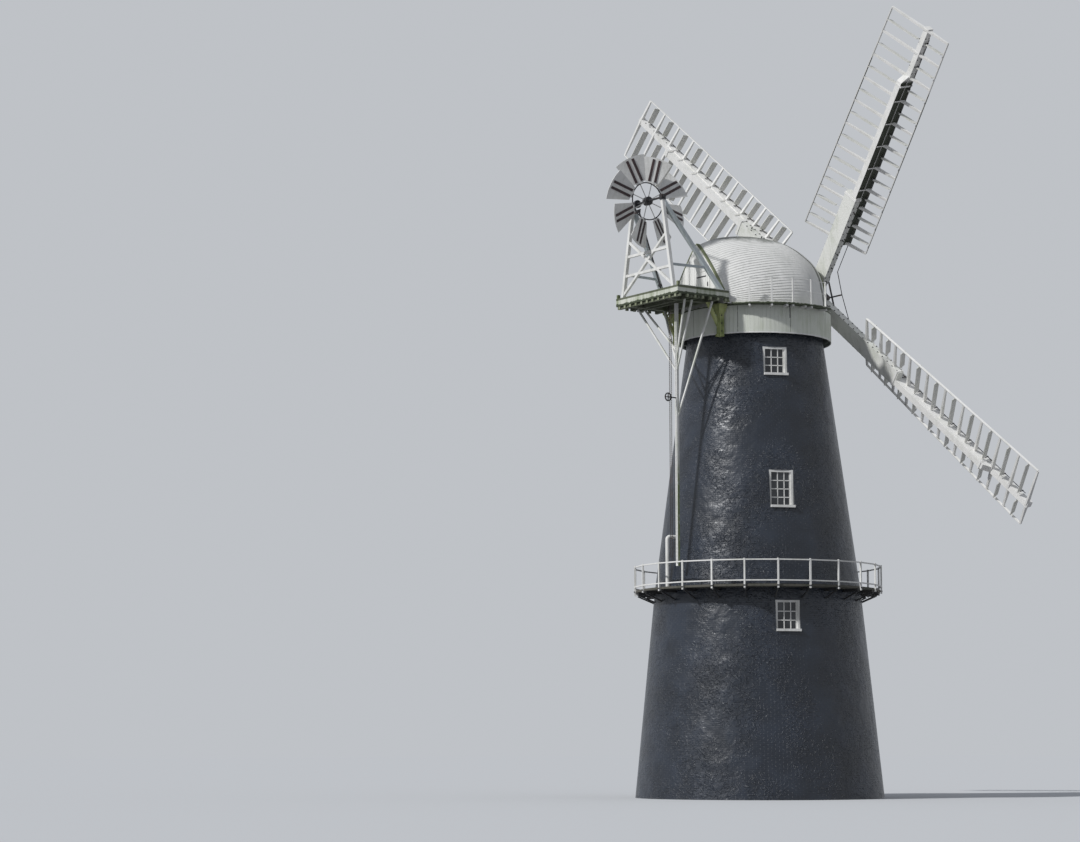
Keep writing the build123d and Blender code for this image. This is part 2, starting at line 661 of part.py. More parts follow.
def on_fan_post(side, share):
    """Point on a fan post's centre line, from the deck at 0 to under the bearing at 1."""
    x = FAN_POST_FOOT_X + share * (FAN_BEARING_X - FAN_POST_FOOT_X)
    return Vector(side * x, FAN_Y, FAN_DECK_Z + share * (FAN_POST_TOP_Z - FAN_DECK_Z))


def fan_post(side):
    """Raked post, left long at both ends."""
    foot = on_fan_post(side, -FAN_POST_SPARE)
    top = on_fan_post(side, 1 + FAN_POST_SPARE)
    return bar_between(foot, top, FAN_POST_SIZE, FAN_POST_SIZE, (0, 1, 0))


def fan_frame():
    """Two raked posts with crossed braces and ties, and a long brace from each bearing to the cap."""
    pieces = []
    rise = FAN_POST_TOP_Z - FAN_DECK_Z
    for side in (-1, 1):
        pieces.append(fan_post(side))
        pieces.append(bar_between(on_fan_post(-side, FAN_CROSS_FOOT), on_fan_post(side, FAN_CROSS_HEIGHT),
                                  FAN_BRACE_SIZE, FAN_BRACE_SIZE, (0, 1, 0)))
    for share in FAN_TIE_HEIGHTS:
        pieces.append(bar_between(on_fan_post(-1, share), on_fan_post(1, share),
                                  FAN_BRACE_SIZE, FAN_BRACE_SIZE, (0, 1, 0)))
    above_deck = Pos(0, FAN_Y, FAN_DECK_Z + rise / 2) * Box(4 * FAN_POST_FOOT_X, 4 * FAN_POST_SIZE, rise)
    write("fan_posts", common(fused(pieces), above_deck))

    braces = []
    for side in (-1, 1):
        top = Vector(side * FAN_BEARING_X, FAN_Y, FAN_POST_TOP_Z)
        foot = Vector(side * FAN_LONG_BRACE_FOOT_X, FAN_LONG_BRACE_FOOT_Y, FAN_DECK_Z - FAN_LONG_BRACE_SIZE)
        brace = bar_between(foot, top, FAN_LONG_BRACE_SIZE, FAN_LONG_BRACE_SIZE, (1, 0, 0))
        reach = FAN_Y - FAN_POST_SIZE / 2
        before_posts = Pos(0, reach / 2, FAN_DECK_Z + rise / 2) * Box(4 * FAN_POST_FOOT_X, reach, rise)
        braces.append(common(brace, before_posts))
    write("fan_long_braces", grouped(braces))

    bearings = []
    size = FAN_AXLE_DIAMETER + 2 * BEARING_BORDER
    for side in (-1, 1):
        block = Pos(side * FAN_BEARING_X, FAN_Y, FAN_Z) * Box(BEARING_LENGTH, size, size)
        bore = rod_between((side * FAN_BEARING_X - BEARING_LENGTH, FAN_Y, FAN_Z),
                           (side * FAN_BEARING_X + BEARING_LENGTH, FAN_Y, FAN_Z),
                           FAN_AXLE_DIAMETER + 2 * FAN_AXLE_GAP)
        bearings.append(block.cut(bore))
    write("fan_bearings", grouped(bearings))


def fan():
    """Axle with its gear, iron ring and hub with spokes, and eight pitched blades on their stocks."""
    reach = FAN_BEARING_X + BEARING_LENGTH / 2 + FAN_AXLE_STUB
    axle = rod_between((-reach, FAN_Y, FAN_Z), (reach, FAN_Y, FAN_Z), FAN_AXLE_DIAMETER)
    gear_end = (FAN_GEAR_X + FAN_GEAR_WIDTH, FAN_Y, FAN_Z)
    gear = rod_between((FAN_GEAR_X, FAN_Y, FAN_Z), gear_end, FAN_GEAR_DIAMETER)
    write("fan_axle", fused([axle, gear]))

    centre = Pos(0, FAN_Y, FAN_Z)
    hub = rod_between((-FAN_HUB_LENGTH / 2, 0, 0), (FAN_HUB_LENGTH / 2, 0, 0), FAN_HUB_DIAMETER)
    ring = fan_rim()
    spokes = []
    blades = []
    for index in range(FAN_BLADES):
        turn = Rot(-(FAN_BLADE_TURN + index * 360 / FAN_BLADES), 0, 0)
        spokes.append(turn * rod_between((0, 0, 0), (0, 0, FAN_RING_RADIUS), FAN_SPOKE_DIAMETER))
        blades.append(turn * fan_blade())
    bore = rod_between((-FAN_HUB_LENGTH, 0, 0), (FAN_HUB_LENGTH, 0, 0), FAN_AXLE_DIAMETER)
    wheel = fused([hub, ring, *spokes]).cut(bore)
    write("fan_ring", centre * wheel)
    write("fan_blades", grouped(centre * blade for blade in blades))


def fan_rim():
    """Iron ring of the fan."""
    return Rot(0, 90, 0) * Torus(FAN_RING_RADIUS, FAN_RING_TUBE / 2)


def fan_blade():
    """One flared board, pitched about its own length, on a square stock that sits on the ring."""
    length = FAN_RADIUS - BLADE_ROOT_RADIUS
    root = BLADE_ROOT_WIDTH / 2
    tip = BLADE_TIP_WIDTH / 2
    board = extrude(
        Plane.YZ * Polygon((-root, BLADE_ROOT_RADIUS), (root, BLADE_ROOT_RADIUS),
                           (tip, FAN_RADIUS), (-tip, FAN_RADIUS), align=None),
        BLADE_THICKNESS / 2, both=True)
    stock_length = BLADE_ROOT_RADIUS + BLADE_STOCK_SHARE * length - FAN_RING_RADIUS
    stock_middle = FAN_RING_RADIUS + stock_length / 2
    stock = Pos(0, 0, stock_middle) * Box(BLADE_STOCK_SIZE, BLADE_STOCK_SIZE, stock_length)
    return (Rot(0, 0, BLADE_PITCH) * fused([board, stock])).cut(fan_rim())


def pole_point(z):
    """Point on the chain pole's centre line."""
    return at_bearing(POLE_RADIUS_FROM_AXIS, POLE_BEARING, z)


def chain_pole():
    """Pole hung below the fan stage with its struts, guide arm and endless hand chain."""
    outward = at_bearing(1, POLE_BEARING)
    pieces = [bar_between(pole_point(POLE_FOOT_Z), pole_point(CAP_FOOT_Z), POLE_SIZE, POLE_SIZE, outward)]
    for x, y, foot_drop in POLE_STRUTS:
        top = Vector(x, y, CAP_FOOT_Z)
        foot = pole_point(TOWER_TOP_Z - foot_drop)
        head = top + (top - foot) * POLE_STRUT_SPARE
        pieces.append(bar_between(foot, head, POLE_STRUT_SIZE, POLE_STRUT_SIZE, outward))
    below = Pos(0, 0, CAP_FOOT_Z / 2) * Box(CAP_FOOT_Z, CAP_FOOT_Z, CAP_FOOT_Z)
    write("chain_pole", common(fused(pieces), below))

    arm_start = pole_point(GUIDE_ARM_Z)
    wheel_centre = arm_start + outward * GUIDE_ARM_LENGTH
    arm = bar_between(arm_start + outward * (POLE_SIZE / 2), wheel_centre, GUIDE_ARM_SIZE, GUIDE_ARM_SIZE)
    wheel_plane = Plane(origin=wheel_centre, x_dir=outward, z_dir=outward.cross(Vector(0, 0, 1)))
    rim_inner = GUIDE_WHEEL_RADIUS - GUIDE_RIM_WIDTH
    rim_ring = Circle(GUIDE_WHEEL_RADIUS) - Circle(rim_inner)
    rim = extrude(wheel_plane * rim_ring, GUIDE_RIM_DEPTH / 2, both=True)
    bar = Rectangle(2 * GUIDE_WHEEL_RADIUS - GUIDE_RIM_WIDTH, GUIDE_BAR_SIZE)
    bars = [extrude(wheel_plane * Rot(0, 0, turn) * bar, GUIDE_BAR_SIZE / 2, both=True) for turn in (0, 90)]
    write("chain_guide", fused([arm, rim, *bars]))

    length = CAP_FOOT_Z - RUNNING_GAP - CHAIN_FOOT_Z - CHAIN_DIAMETER
    loop = SlotOverall(length, CHAIN_SPREAD, rotation=90)
    hang = Plane(origin=pole_point(CHAIN_FOOT_Z + (length + CHAIN_DIAMETER) / 2) + outward * CHAIN_OFFSET,
                 x_dir=outward.cross(Vector(0, 0, 1)), z_dir=outward)
    route = (hang * loop).wire()
    start = Plane(origin=route @ 0, z_dir=route % 0)
    write("hand_chain", sweep(start * Circle(CHAIN_DIAMETER / 2), path=route))


def fan_drive():
    """Raked shaft from beside the fan's gear down to a crown gear on the fan stage."""
    top = Vector(DRIVE_HEAD_X, FAN_Y, FAN_Z - DRIVE_HEAD_DROP)
    foot = Vector(DRIVE_HEAD_X, FAN_Y - DRIVE_RAKE, FAN_DECK_Z)
    shaft = rod_between(foot, top, DRIVE_SHAFT_DIAMETER)
    on_deck = Pos(0, 0, FAN_DECK_Z + FAN_Z / 2) * Box(FAN_Z, FAN_Z, FAN_Z)
    post_share = (top.Z - DRIVE_ARM_SIZE - FAN_DECK_Z) / (FAN_POST_TOP_Z - FAN_DECK_Z)
    arm_start = top - Vector(0, 0, DRIVE_ARM_SIZE)
    arm = bar_between(arm_start, on_fan_post(1, post_share), DRIVE_ARM_SIZE, DRIVE_ARM_SIZE)
    block = Pos(foot.X, foot.Y, FAN_DECK_Z + DRIVE_BOX / 2) * Box(DRIVE_BOX, DRIVE_BOX, DRIVE_BOX)
    write("fan_drive", fused([common(shaft, on_deck), arm, block]).cut(fan_post(1)))


def shaft_frame():
    """Place of the hub: local Y runs forward along the windshaft and local Z up the sail plane."""
    return Pos(0, HUB_Y, HUB_Z) * Rot(-SHAFT_TILT, 0, 0) * Rot(0, 0, 180)


def shaft_point(distance):
    """Point on the windshaft's axis at a distance behind the hub."""
    tilt = math.radians(SHAFT_TILT)
    return Vector(0, HUB_Y + distance * math.cos(tilt), HUB_Z - distance * math.sin(tilt))


def sail_place(index):
    """Place of one sail: local Z runs out along it, X to its leading side and Y forward."""
    angle = SAIL_REST_ANGLE + 90.0 * index
    return Pos(0, HUB_Y, HUB_Z) * Rot(-SHAFT_TILT, 0, 0) * Rot(0, -angle, 0) * Rot(0, 0, 180)


def stock_offset(index):
    """The two stocks cross one behind the other, so their sails stand a step apart."""
    return (-1 if index % 2 == 0 else 1) * (STOCK_DEPTH + STOCK_PAIR_GAP) / 2


def windshaft():
    """Tapered shaft with its poll end, and the two bearings that carry it on the cap frame."""
    frame = shaft_frame()
    shaft = rod_between((0, -SHAFT_LENGTH, 0), (0, -POLL_HALF_DEPTH, 0), SHAFT_DIAMETER)
    write("windshaft", frame * shaft)

    poll = Box(2 * POLL_HALF_SIZE, 2 * POLL_HALF_DEPTH, 2 * POLL_HALF_SIZE)
    turned = Rot(0, SAIL_REST_ANGLE, 0)
    holes = [
        turned * Pos(0, stock_offset(0), 0) * Box(STOCK_WIDTH, STOCK_DEPTH, 4 * POLL_HALF_SIZE),
        turned * Pos(0, stock_offset(1), 0) * Box(4 * POLL_HALF_SIZE, STOCK_DEPTH, STOCK_WIDTH),
    ]
    rod_hole = rod_between((0, -POLL_HALF_DEPTH - 10, 0), (0, POLL_HALF_DEPTH + 10, 0), STRIKING_ROD_DIAMETER)
    write("poll_end", frame * (turned * poll).cut(*holes, rod_hole))

    bore = frame * rod_between((0, -2 * SHAFT_LENGTH, 0), (0, 0, 0), SHAFT_DIAMETER + 2 * SHAFT_BEARING_GAP)
    bearings = []
    for distance in SHAFT_BEARINGS:
        seat = shaft_point(distance)
        block = Pos(seat) * Box(SHAFT_BLOCK_WIDTH, SHAFT_BLOCK_LENGTH, 2 * SHAFT_BLOCK_DROP)
        bearings.append(block.cut(bore))
    write("shaft_bearings", grouped(bearings))


def weather(radius):
    """Angle of the sail bars to the sail plane, falling evenly from heel to tip."""
    return math.radians(HEEL_WEATHER - WEATHER_STEP * (radius - HEEL))


def whip_size(radius):
    """Width and depth of the tapered whip at a radius."""
    share = (radius - HEEL) / (WHIP_TIP - HEEL)
    width = WHIP_WIDTH + share * (WHIP_TIP_WIDTH - WHIP_WIDTH)
    depth = WHIP_DEPTH + share * (WHIP_TIP_DEPTH - WHIP_DEPTH)
    return width, depth


def bar_centre(radius):
    """Point where a sail bar crosses the whip."""
    width, depth = whip_size(radius)
    return Vector(STOCK_WIDTH / 2 - width / 2, STOCK_DEPTH / 2 + BAR_SEAT * depth, radius)


def bar_end(radius, reach):
    """Point along the weathered sail bar, with a positive reach to the leading side."""
    turn = weather(radius)
    return bar_centre(radius) + Vector(reach * math.cos(turn), reach * math.sin(turn), 0)


def bar_radii():
    """Radii of all the sail bars from heel to tip."""
    radii = [HEEL + bay * INNER_BAY for bay in range(INNER_BAYS + 1)]
    radii += [radii[-1] + bay * OUTER_BAY for bay in range(1, OUTER_BAYS + 1)]
    return radii


def tapered_arm(radius, reach):
    """Sail bar from the whip to one hemlath, deep at the whip and thin at its end."""
    start = bar_centre(radius)
    along = bar_end(radius, reach) - start
    root = BAR_ROOT_DEPTH / 2
    tip = BAR_TIP_DEPTH / 2
    outline = Polygon((0, -root), (along.length, -tip), (along.length, tip), (0, root), align=None)
    return extrude(Plane(origin=start, x_dir=along, z_dir=(0, 0, 1)) * outline, BAR_HEIGHT / 2, both=True)


def whip():
    """Tapered whip in front of the stock, in the sail's own frame."""
    width, depth = whip_size(HEEL)
    tip_width, tip_depth = whip_size(WHIP_TIP)
    side = STOCK_WIDTH / 2
    back = STOCK_DEPTH / 2
    low = HEEL - BAR_HEIGHT
    face_corners = ((side, low), (side - width, low), (side - tip_width, WHIP_TIP), (side, WHIP_TIP))
    flank_corners = ((back, low), (back + depth, low), (back + tip_depth, WHIP_TIP), (back, WHIP_TIP))
    face = Plane.XZ * Polygon(*face_corners, align=None)
    flank = Plane.YZ * Polygon(*flank_corners, align=None)
    return common(extrude(face, 2 * STOCK_WIDTH, both=True), extrude(flank, 2 * STOCK_WIDTH, both=True))


def hemlath(reach):
    """Twisted edge board along the ends of all the bars on one side."""
    sections = []
    for radius in bar_radii():
        turn = weather(radius)
        along_bar = (math.cos(turn), math.sin(turn), 0)
        place = Plane(origin=bar_end(radius, reach), x_dir=along_bar, z_dir=(0, 0, 1))
        sections.append(place * Rectangle(HEMLATH_THICKNESS, HEMLATH_HEIGHT))
    return loft(sections, ruled=True)


def sail_frame(timbers, stock):
    """Whip and hemlaths joined by the bars, with the stiffener behind, notched over the stock."""
    pieces = list(timbers)
    back = -STOCK_DEPTH / 2
    front = STOCK_DEPTH / 2
    stiffener = Plane.YZ * Polygon((back, STOCK_REACH), (front, STOCK_REACH), (front, STIFFENER_TIP),
                                   (back, STIFFENER_TIP - STIFFENER_CHAMFER), align=None)
    left = STOCK_WIDTH / 2 - WHIP_WIDTH
    pieces.append(Pos(left, 0, 0) * extrude(stiffener, WHIP_WIDTH * STIFFENER_SHARE))
    for radius in bar_radii():
        pieces.append(tapered_arm(radius, -DRIVING_WIDTH))
        pieces.append(tapered_arm(radius, LEADING_WIDTH))
    return fused(pieces).cut(stock)


def shutter(radius, outer_reach, length, timbers):
    """One open shutter on its pin, which is cut back to the timbers of the sail."""
    sign = math.copysign(1, outer_reach)
    turn = weather(radius)
    along = Vector(math.cos(turn), math.sin(turn), 0) * sign
    edge = bar_end(radius, outer_reach - sign * (HEMLATH_THICKNESS / 2))
    outer = edge - along * SHUTTER_EDGE_GAP
    inner = outer - along * length
    across = Vector(0, 0, 1)
    plane = Plane(origin=inner, x_dir=across, z_dir=along)
    section = Rot(0, 0, SHUTTER_OPENING * sign) * Rectangle(SHUTTER_CHORD, SHUTTER_THICKNESS)
    board = extrude(plane * section, length)
    pin = rod_between(bar_centre(radius), bar_end(radius, outer_reach), SHUTTER_PIN).cut(*timbers)
    return max(fused([board, pin]).solids(), key=lambda solid: solid.volume)


def sail_shutters(timbers):
    """One shutter in each bay on both sides, shorter beside the stock, in the sail's own frame."""
    radii = bar_radii()
    pieces = []
    for index, (low, high) in enumerate(zip(radii, radii[1:])):
        share = INNER_SHUTTER_SHARE if index < INNER_BAYS else 1.0
        middle = (low + high) / 2
        pieces.append(shutter(middle, -DRIVING_WIDTH, DRIVING_SHUTTER * share, timbers))
        pieces.append(shutter(middle, LEADING_WIDTH, LEADING_SHUTTER, timbers))
    return grouped(pieces)


def sails():
    """Two stocks through the poll end, and the four sails with their shutters."""
    stock = Box(STOCK_WIDTH, STOCK_DEPTH, 2 * STOCK_REACH)
    timbers = [whip(), hemlath(-DRIVING_WIDTH), hemlath(LEADING_WIDTH)]
    frame = sail_frame(timbers, stock)
    shutters = sail_shutters([*timbers, stock])
    for index in range(2):
        write(f"stock_{index + 1}", sail_place(index) * Pos(0, stock_offset(index), 0) * stock)
    for index in range(4):
        place = sail_place(index) * Pos(0, stock_offset(index), 0)
        write(f"sail_frame_{index + 1}", place * frame)
        write(f"sail_shutters_{index + 1}", place * shutters)


def spider():
    """Striking rod out through the poll end with the four-armed spider on it."""
    front = POLL_HALF_DEPTH + SPIDER_FORWARD
    nose = (0, front + SPIDER_NOSE, 0)
    rod = rod_between((0, STOCK_DEPTH + STOCK_PAIR_GAP, 0), nose, STRIKING_ROD_DIAMETER)
    arm = bar_between((0, front, 0), (0, front, SPIDER_REACH), SPIDER_ARM_WIDTH, SPIDER_ARM_DEPTH, (0, 1, 0))
    arms = [Rot(0, 45 + 90 * index, 0) * arm for index in range(4)]
    write("spider_gear", shaft_frame() * Rot(0, SAIL_REST_ANGLE, 0) * fused([rod, *arms]))


def build():
    """Writes every sub-part of the mill."""
    os.makedirs("parts", exist_ok=True)
    tower_walls()
    ground_floor()
    timber_floors()
    curb()
    window_parts()
    door_parts()
    stage()
    vent_pipe()
    cap_structure()
    cap_cover()
    gallery()
    fan_stage()
    fan_frame()
    fan()
    fan_drive()
    chain_pole()
    windshaft()
    sails()
    spider()


build()
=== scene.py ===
# %% [markdown]
# # A tower windmill, finished in Blender
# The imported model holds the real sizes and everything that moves. This lesson dresses it: each cell makes
# one finish or one set of small pieces, and says why it is made that way. All lengths are metres, +Z is
# up, the sails face -Y, and the tower's centre at ground level is the origin.

import math

import bpy
import numpy as np
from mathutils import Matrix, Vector


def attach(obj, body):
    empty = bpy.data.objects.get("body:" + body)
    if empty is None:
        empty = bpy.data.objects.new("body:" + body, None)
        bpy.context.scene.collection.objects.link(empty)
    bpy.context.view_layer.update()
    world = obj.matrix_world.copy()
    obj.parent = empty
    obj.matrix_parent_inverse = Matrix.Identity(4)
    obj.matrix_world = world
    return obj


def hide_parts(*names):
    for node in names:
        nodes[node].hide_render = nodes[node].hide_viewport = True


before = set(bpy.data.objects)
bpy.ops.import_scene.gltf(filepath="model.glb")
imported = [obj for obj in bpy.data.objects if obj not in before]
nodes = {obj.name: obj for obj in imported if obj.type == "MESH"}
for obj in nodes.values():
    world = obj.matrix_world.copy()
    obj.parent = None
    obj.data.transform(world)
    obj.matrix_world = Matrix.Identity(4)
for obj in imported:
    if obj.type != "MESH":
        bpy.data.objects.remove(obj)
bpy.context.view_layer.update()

# %% [markdown]
# ## The camera
# The photograph was taken from low ground about a hundred metres away with a long lens. The place and the
# angle were fitted to the ends of the sails, the round stage and the level of the horizon. Nothing is
# shifted or blurred.

# %% Place the camera
PHOTO_WIDTH = 1080
FOCAL_PIXELS = 2561.5
SENSOR = 36.0
CAMERA_PLACE = Vector((-76.053, 62.405, 1.844))
VIEW_DIRECTION = Vector((0.8172, -0.5621, 0.1269))


def in_scene(name, data):
    """A new object around a camera, a lamp or a mesh, linked to the scene."""
    made = bpy.data.objects.new(name, data)
    bpy.context.scene.collection.objects.link(made)
    return made


def aim(made, direction):
    """Turn a camera or a lamp, which look along their own -Z, to a direction."""
    made.rotation_mode = "QUATERNION"
    made.rotation_quaternion = direction.to_track_quat("-Z", "Y")


camera_data = bpy.data.cameras.new("camera")
camera_data.sensor_width = SENSOR
camera_data.lens = FOCAL_PIXELS / PHOTO_WIDTH * SENSOR
camera_data.clip_end = 1000.0
camera = in_scene("camera", camera_data)
camera.location = CAMERA_PLACE
aim(camera, VIEW_DIRECTION)
bpy.context.scene.camera = camera
print("lens", round(camera_data.lens, 1), "mm")

# %% [markdown]
# ## Building blocks
# Most of the dressing is timber and iron: straight pieces with square or round sections. They are worked
# out as whole arrays, many pieces at a time, and gathered into one mesh for each kind of piece. A part
# here is a tuple: an array of points, then one or more arrays of faces that count from zero.

# %% Arrays of square timbers
BOX_CORNERS = np.array([(a, b, c) for a in (-0.5, 0.5) for b in (-0.5, 0.5) for c in (-0.5, 0.5)])
BOX_FACES = np.array([(0, 1, 3, 2), (4, 6, 7, 5), (0, 4, 5, 1), (2, 3, 7, 6), (0, 2, 6, 4), (1, 5, 7, 3)])
X_AXIS, Y_AXIS, UP = np.eye(3)
BOTH_SIDES = np.array((-1, 1))


def unit(vectors):
    """Each vector divided by its own length."""
    return vectors / np.linalg.norm(vectors, axis=-1, keepdims=True)


def columns(x, y, z):
    """Points from their three coordinates, where a single number stands for all of them."""
    return np.stack(np.broadcast_arrays(x, y, z), axis=-1).astype(float)


def slabs(corners):
    """Six-sided blocks from eight corners each, ordered as low and high along three right-handed
    directions."""
    count = len(corners)
    faces = BOX_FACES[None] + 8 * np.arange(count)[:, None, None]
    return corners.reshape(-1, 3), faces.reshape(-1, 4)


def timbers(centres, along, across, sizes):
    """Square timbers: each corner is the centre plus or minus half a size along three square
    directions."""
    centres = np.atleast_2d(centres).astype(float)
    along = unit(np.broadcast_to(along, centres.shape).astype(float))
    up = unit(np.cross(along, np.broadcast_to(across, centres.shape)))
    axes = np.stack([along, np.cross(up, along), up], axis=1)
    sizes = np.broadcast_to(sizes, centres.shape)
    return slabs(centres[:, None] + np.einsum("kj,nj,njd->nkd", BOX_CORNERS, sizes, axes))


def timbers_between(starts, ends, across, width, depth):
    """Square timbers from one point to another; the length is the distance between them."""
    starts = np.atleast_2d(starts).astype(float)
    ends = np.atleast_2d(ends).astype(float)
    lengths = np.linalg.norm(ends - starts, axis=1)
    return timbers((starts + ends) / 2, ends - starts, across, columns(lengths, width, depth))


# %% Arrays of round rods
NEARLY_UPRIGHT = 0.9


def rods(starts, ends, radius, sides=8):
    """Round rods: a ring of points at each end, on a circle square to the rod."""
    starts = np.atleast_2d(starts).astype(float)
    ends = np.atleast_2d(ends).astype(float)
    along = unit(ends - starts)
    helper = np.where(np.abs(along[:, 2:3]) > NEARLY_UPRIGHT, X_AXIS, UP)
    across = unit(np.cross(helper, along))
    up = np.cross(along, across)
    turn = 2 * np.pi * np.arange(sides) / sides
    cosine, sine = np.cos(turn)[None, :, None], np.sin(turn)[None, :, None]
    ring = radius * (cosine * across[:, None] + sine * up[:, None])
    points = np.concatenate([starts[:, None] + ring, ends[:, None] + ring], axis=1).reshape(-1, 3)
    first = np.arange(sides)
    second = (first + 1) % sides
    start = (2 * sides * np.arange(len(starts)))[:, None, None]
    walls = np.stack([first, second, sides + second, sides + first], axis=1)[None] + start
    low_caps = first[::-1][None] + start[:, 0]
    high_caps = sides + first[None] + start[:, 0]
    return points, walls.reshape(-1, 4), low_caps, high_caps


# %% Surfaces, transforms and finished pieces
def surface(points, closed=False):
    """Square faces over a grid of points; the outside is rows crossed with columns."""
    index = np.arange(points[..., 0].size).reshape(points.shape[:2])
    if closed:
        index = np.concatenate([index, index[:, :1]], axis=1)
    faces = np.stack([index[:-1, :-1], index[1:, :-1], index[1:, 1:], index[:-1, 1:]], axis=-1)
    return points.reshape(-1, 3), faces.reshape(-1, 4)


def band(path, first, second, width, thickness):
    """A strip with a rectangular section along a path: corners at half a width each way along the first
    direction, and at zero and the full thickness along the second; both ends are closed."""
    corners = ((-0.5, 0), (-0.5, 1), (0.5, 1), (0.5, 0))
    rows = [path + first * (side * width) + second * (lift * thickness) for side, lift in corners]
    grid, faces = surface(np.stack(rows, axis=1), closed=True)
    last = 4 * (len(path) - 1)
    return grid, faces, np.array([[0, 1, 2, 3]]), np.array([[last + 3, last + 2, last + 1, last]])


def moved(part, matrix):
    """The same part carried by a four by four matrix."""
    points = part[0] @ matrix[:3, :3].T + matrix[:3, 3]
    return (points, *part[1:])


def piece(name, parts, material, body, replaces=()):
    """One finished object at the origin from a list of parts, riding on a body."""
    points, faces, start = [], [], 0
    for part_points, *part_faces in parts:
        points.append(part_points)
        for group in part_faces:
            faces.extend((group + start).tolist())
        start += len(part_points)
    mesh = bpy.data.meshes.new(name)
    mesh.from_pydata(np.concatenate(points).tolist(), [], faces)
    mesh.materials.append(material)
    mesh.update()
    made = in_scene(name, mesh)
    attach(made, body)
    if replaces:
        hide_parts(*replaces)
    print(name, len(mesh.polygons), "faces")
    return made


def turned(axis, degrees):
    """Four by four matrix of a right-handed turn about X, Y or Z."""
    cosine, sine = math.cos(math.radians(degrees)), math.sin(math.radians(degrees))
    low, high = ((1, 2), (2, 0), (0, 1))["XYZ".index(axis)]
    matrix = np.eye(4)
    matrix[low, low] = matrix[high, high] = cosine
    matrix[low, high], matrix[high, low] = -sine, sine
    return matrix


def shifted(x, y, z):
    """Four by four matrix of a move."""
    matrix = np.eye(4)
    matrix[:3, 3] = (x, y, z)
    return matrix


def at_bearing(radius, bearing, z):
    """Points round the tower's axis: x and y are the radius times the cosine and sine of the bearing."""
    angle = np.radians(bearing)
    return columns(radius * np.cos(angle), radius * np.sin(angle), z)


def walled(made, thickness):
    """A sheet given a wall that grows inward from it."""
    wall = made.modifiers.new("wall", "SOLIDIFY")
    wall.thickness = thickness
    wall.offset = -1.0


# %% [markdown]
# ## Finishes
# Nearly all of this mill is either tar on brick or old white paint on boards. Each finish starts from one
# colour, and noise read in object coordinates adds what weather does: patches, streaks that run down,
# grain, and wear. Colours and roughness that don't vary are set on the shader's own sockets.

# %% A small kit for material nodes
class Signal:
    """What a material works out at each place; +, - and * each make one arithmetic node."""

    def __init__(self, finish, socket):
        self.finish, self.socket = finish, socket

    def __add__(self, other):
        return self.finish.math("ADD", self, other)

    def __sub__(self, other):
        return self.finish.math("SUBTRACT", self, other)

    def __rsub__(self, other):
        return self.finish.math("SUBTRACT", other, self)

    def __mul__(self, other):
        return self.finish.math("MULTIPLY", self, other)


class Finish:
    """A material under construction, with short calls that add one node each."""

    def __init__(self, name, specular=0.5):
        self.material = bpy.data.materials.new(name)
        self.material.use_nodes = True
        self.tree = self.material.node_tree
        self.shader = self.tree.nodes["Principled BSDF"]
        self.fill(self.shader.inputs["Specular IOR Level"], specular)
        coordinates = self.tree.nodes.new("ShaderNodeTexCoord").outputs
        self.place, self.outward = Signal(self, coordinates["Object"]), Signal(self, coordinates["Normal"])

    def fill(self, socket, value):
        """Feed a socket from a signal or set it to a value; a colour is three numbers."""
        if isinstance(value, Signal):
            self.tree.links.new(value.socket, socket)
        else:
            socket.default_value = (*value, 1.0) if socket.type == "RGBA" else value

    def add(self, kind, inputs, output, **settings):
        """A new node with its settings, its inputs by name or number, and the signal of one output."""
        node = self.tree.nodes.new("ShaderNode" + kind)
        for setting, value in settings.items():
            setattr(node, setting, value)
        for key, value in inputs.items():
            self.fill(node.inputs[key], value)
        return Signal(self, node.outputs[output])

    def stretched(self, scale):
        """Object coordinates multiplied by a scale on each axis."""
        return self.add("Mapping", {"Vector": self.place, "Scale": scale}, "Vector")

    def noise(self, scale, detail=3.0, place=None, distortion=0.0):
        """Smooth random values from 0 to 1."""
        inputs = {"Vector": place or self.place, "Scale": scale, "Detail": detail, "Distortion": distortion}
        return self.add("TexNoise", inputs, "Fac")

    def math(self, operation, first, second=0.0):
        """One arithmetic step between values or signals."""
        return self.add("Math", {0: first, 1: second}, "Value", operation=operation)

    def bricks(self, place, inputs):
        """A pattern of bricks or slabs, with sizes and colours by the names of their sockets."""
        return self.add("TexBrick", {"Vector": place, "Scale": 1.0, **inputs}, "Color")

    def part(self, axis):
        """One coordinate: 0 is X, 1 is Y and 2 is Z."""
        return self.add("SeparateXYZ", {0: self.place}, axis)

    def along(self, source, direction):
        """How far the place or the face's outward direction lies along a direction."""
        return self.add("VectorMath", {0: source, 1: direction}, "Value", operation="DOT_PRODUCT")

    def between(self, value, low, high):
        """The value carried from low..high to 0..1 and held there."""
        return self.add("MapRange", {"Value": value, "From Min": low, "From Max": high}, "Result",
                        interpolation_type="SMOOTHSTEP")

    def mixed(self, share, first, second):
        """A colour between two colours."""
        return self.add("Mix", {"Factor": share, 6: first, 7: second}, 2, data_type="RGBA")

    def scaled(self, value, low, high):
        """The value carried from 0..1 to low..high."""
        return value * (high - low) + low

    def bump(self, height, distance):
        """Relief of a given depth in metres."""
        self.fill(self.shader.inputs["Normal"], self.add("Bump", {"Height": height, "Distance": distance}, 0))

    def done(self, colour, roughness):
        self.fill(self.shader.inputs["Base Color"], colour)
        self.fill(self.shader.inputs["Roughness"], roughness)
        return self.material


# %% [markdown]
# Tarred brick: the tar lies thick over the bricks, so the wall swells a little, is pitted in patches, and
# has a broad shine on the side towards the light. The courses are laid round the tower, so the bricks are
# placed by the angle round the axis times the radius, and by the height. Thin worn spots show as pale
# specks.

# %% Tarred brick
BRICK_LENGTH = 0.24
BRICK_HEIGHT = 0.078
WALL_MEAN_RADIUS = 3.9


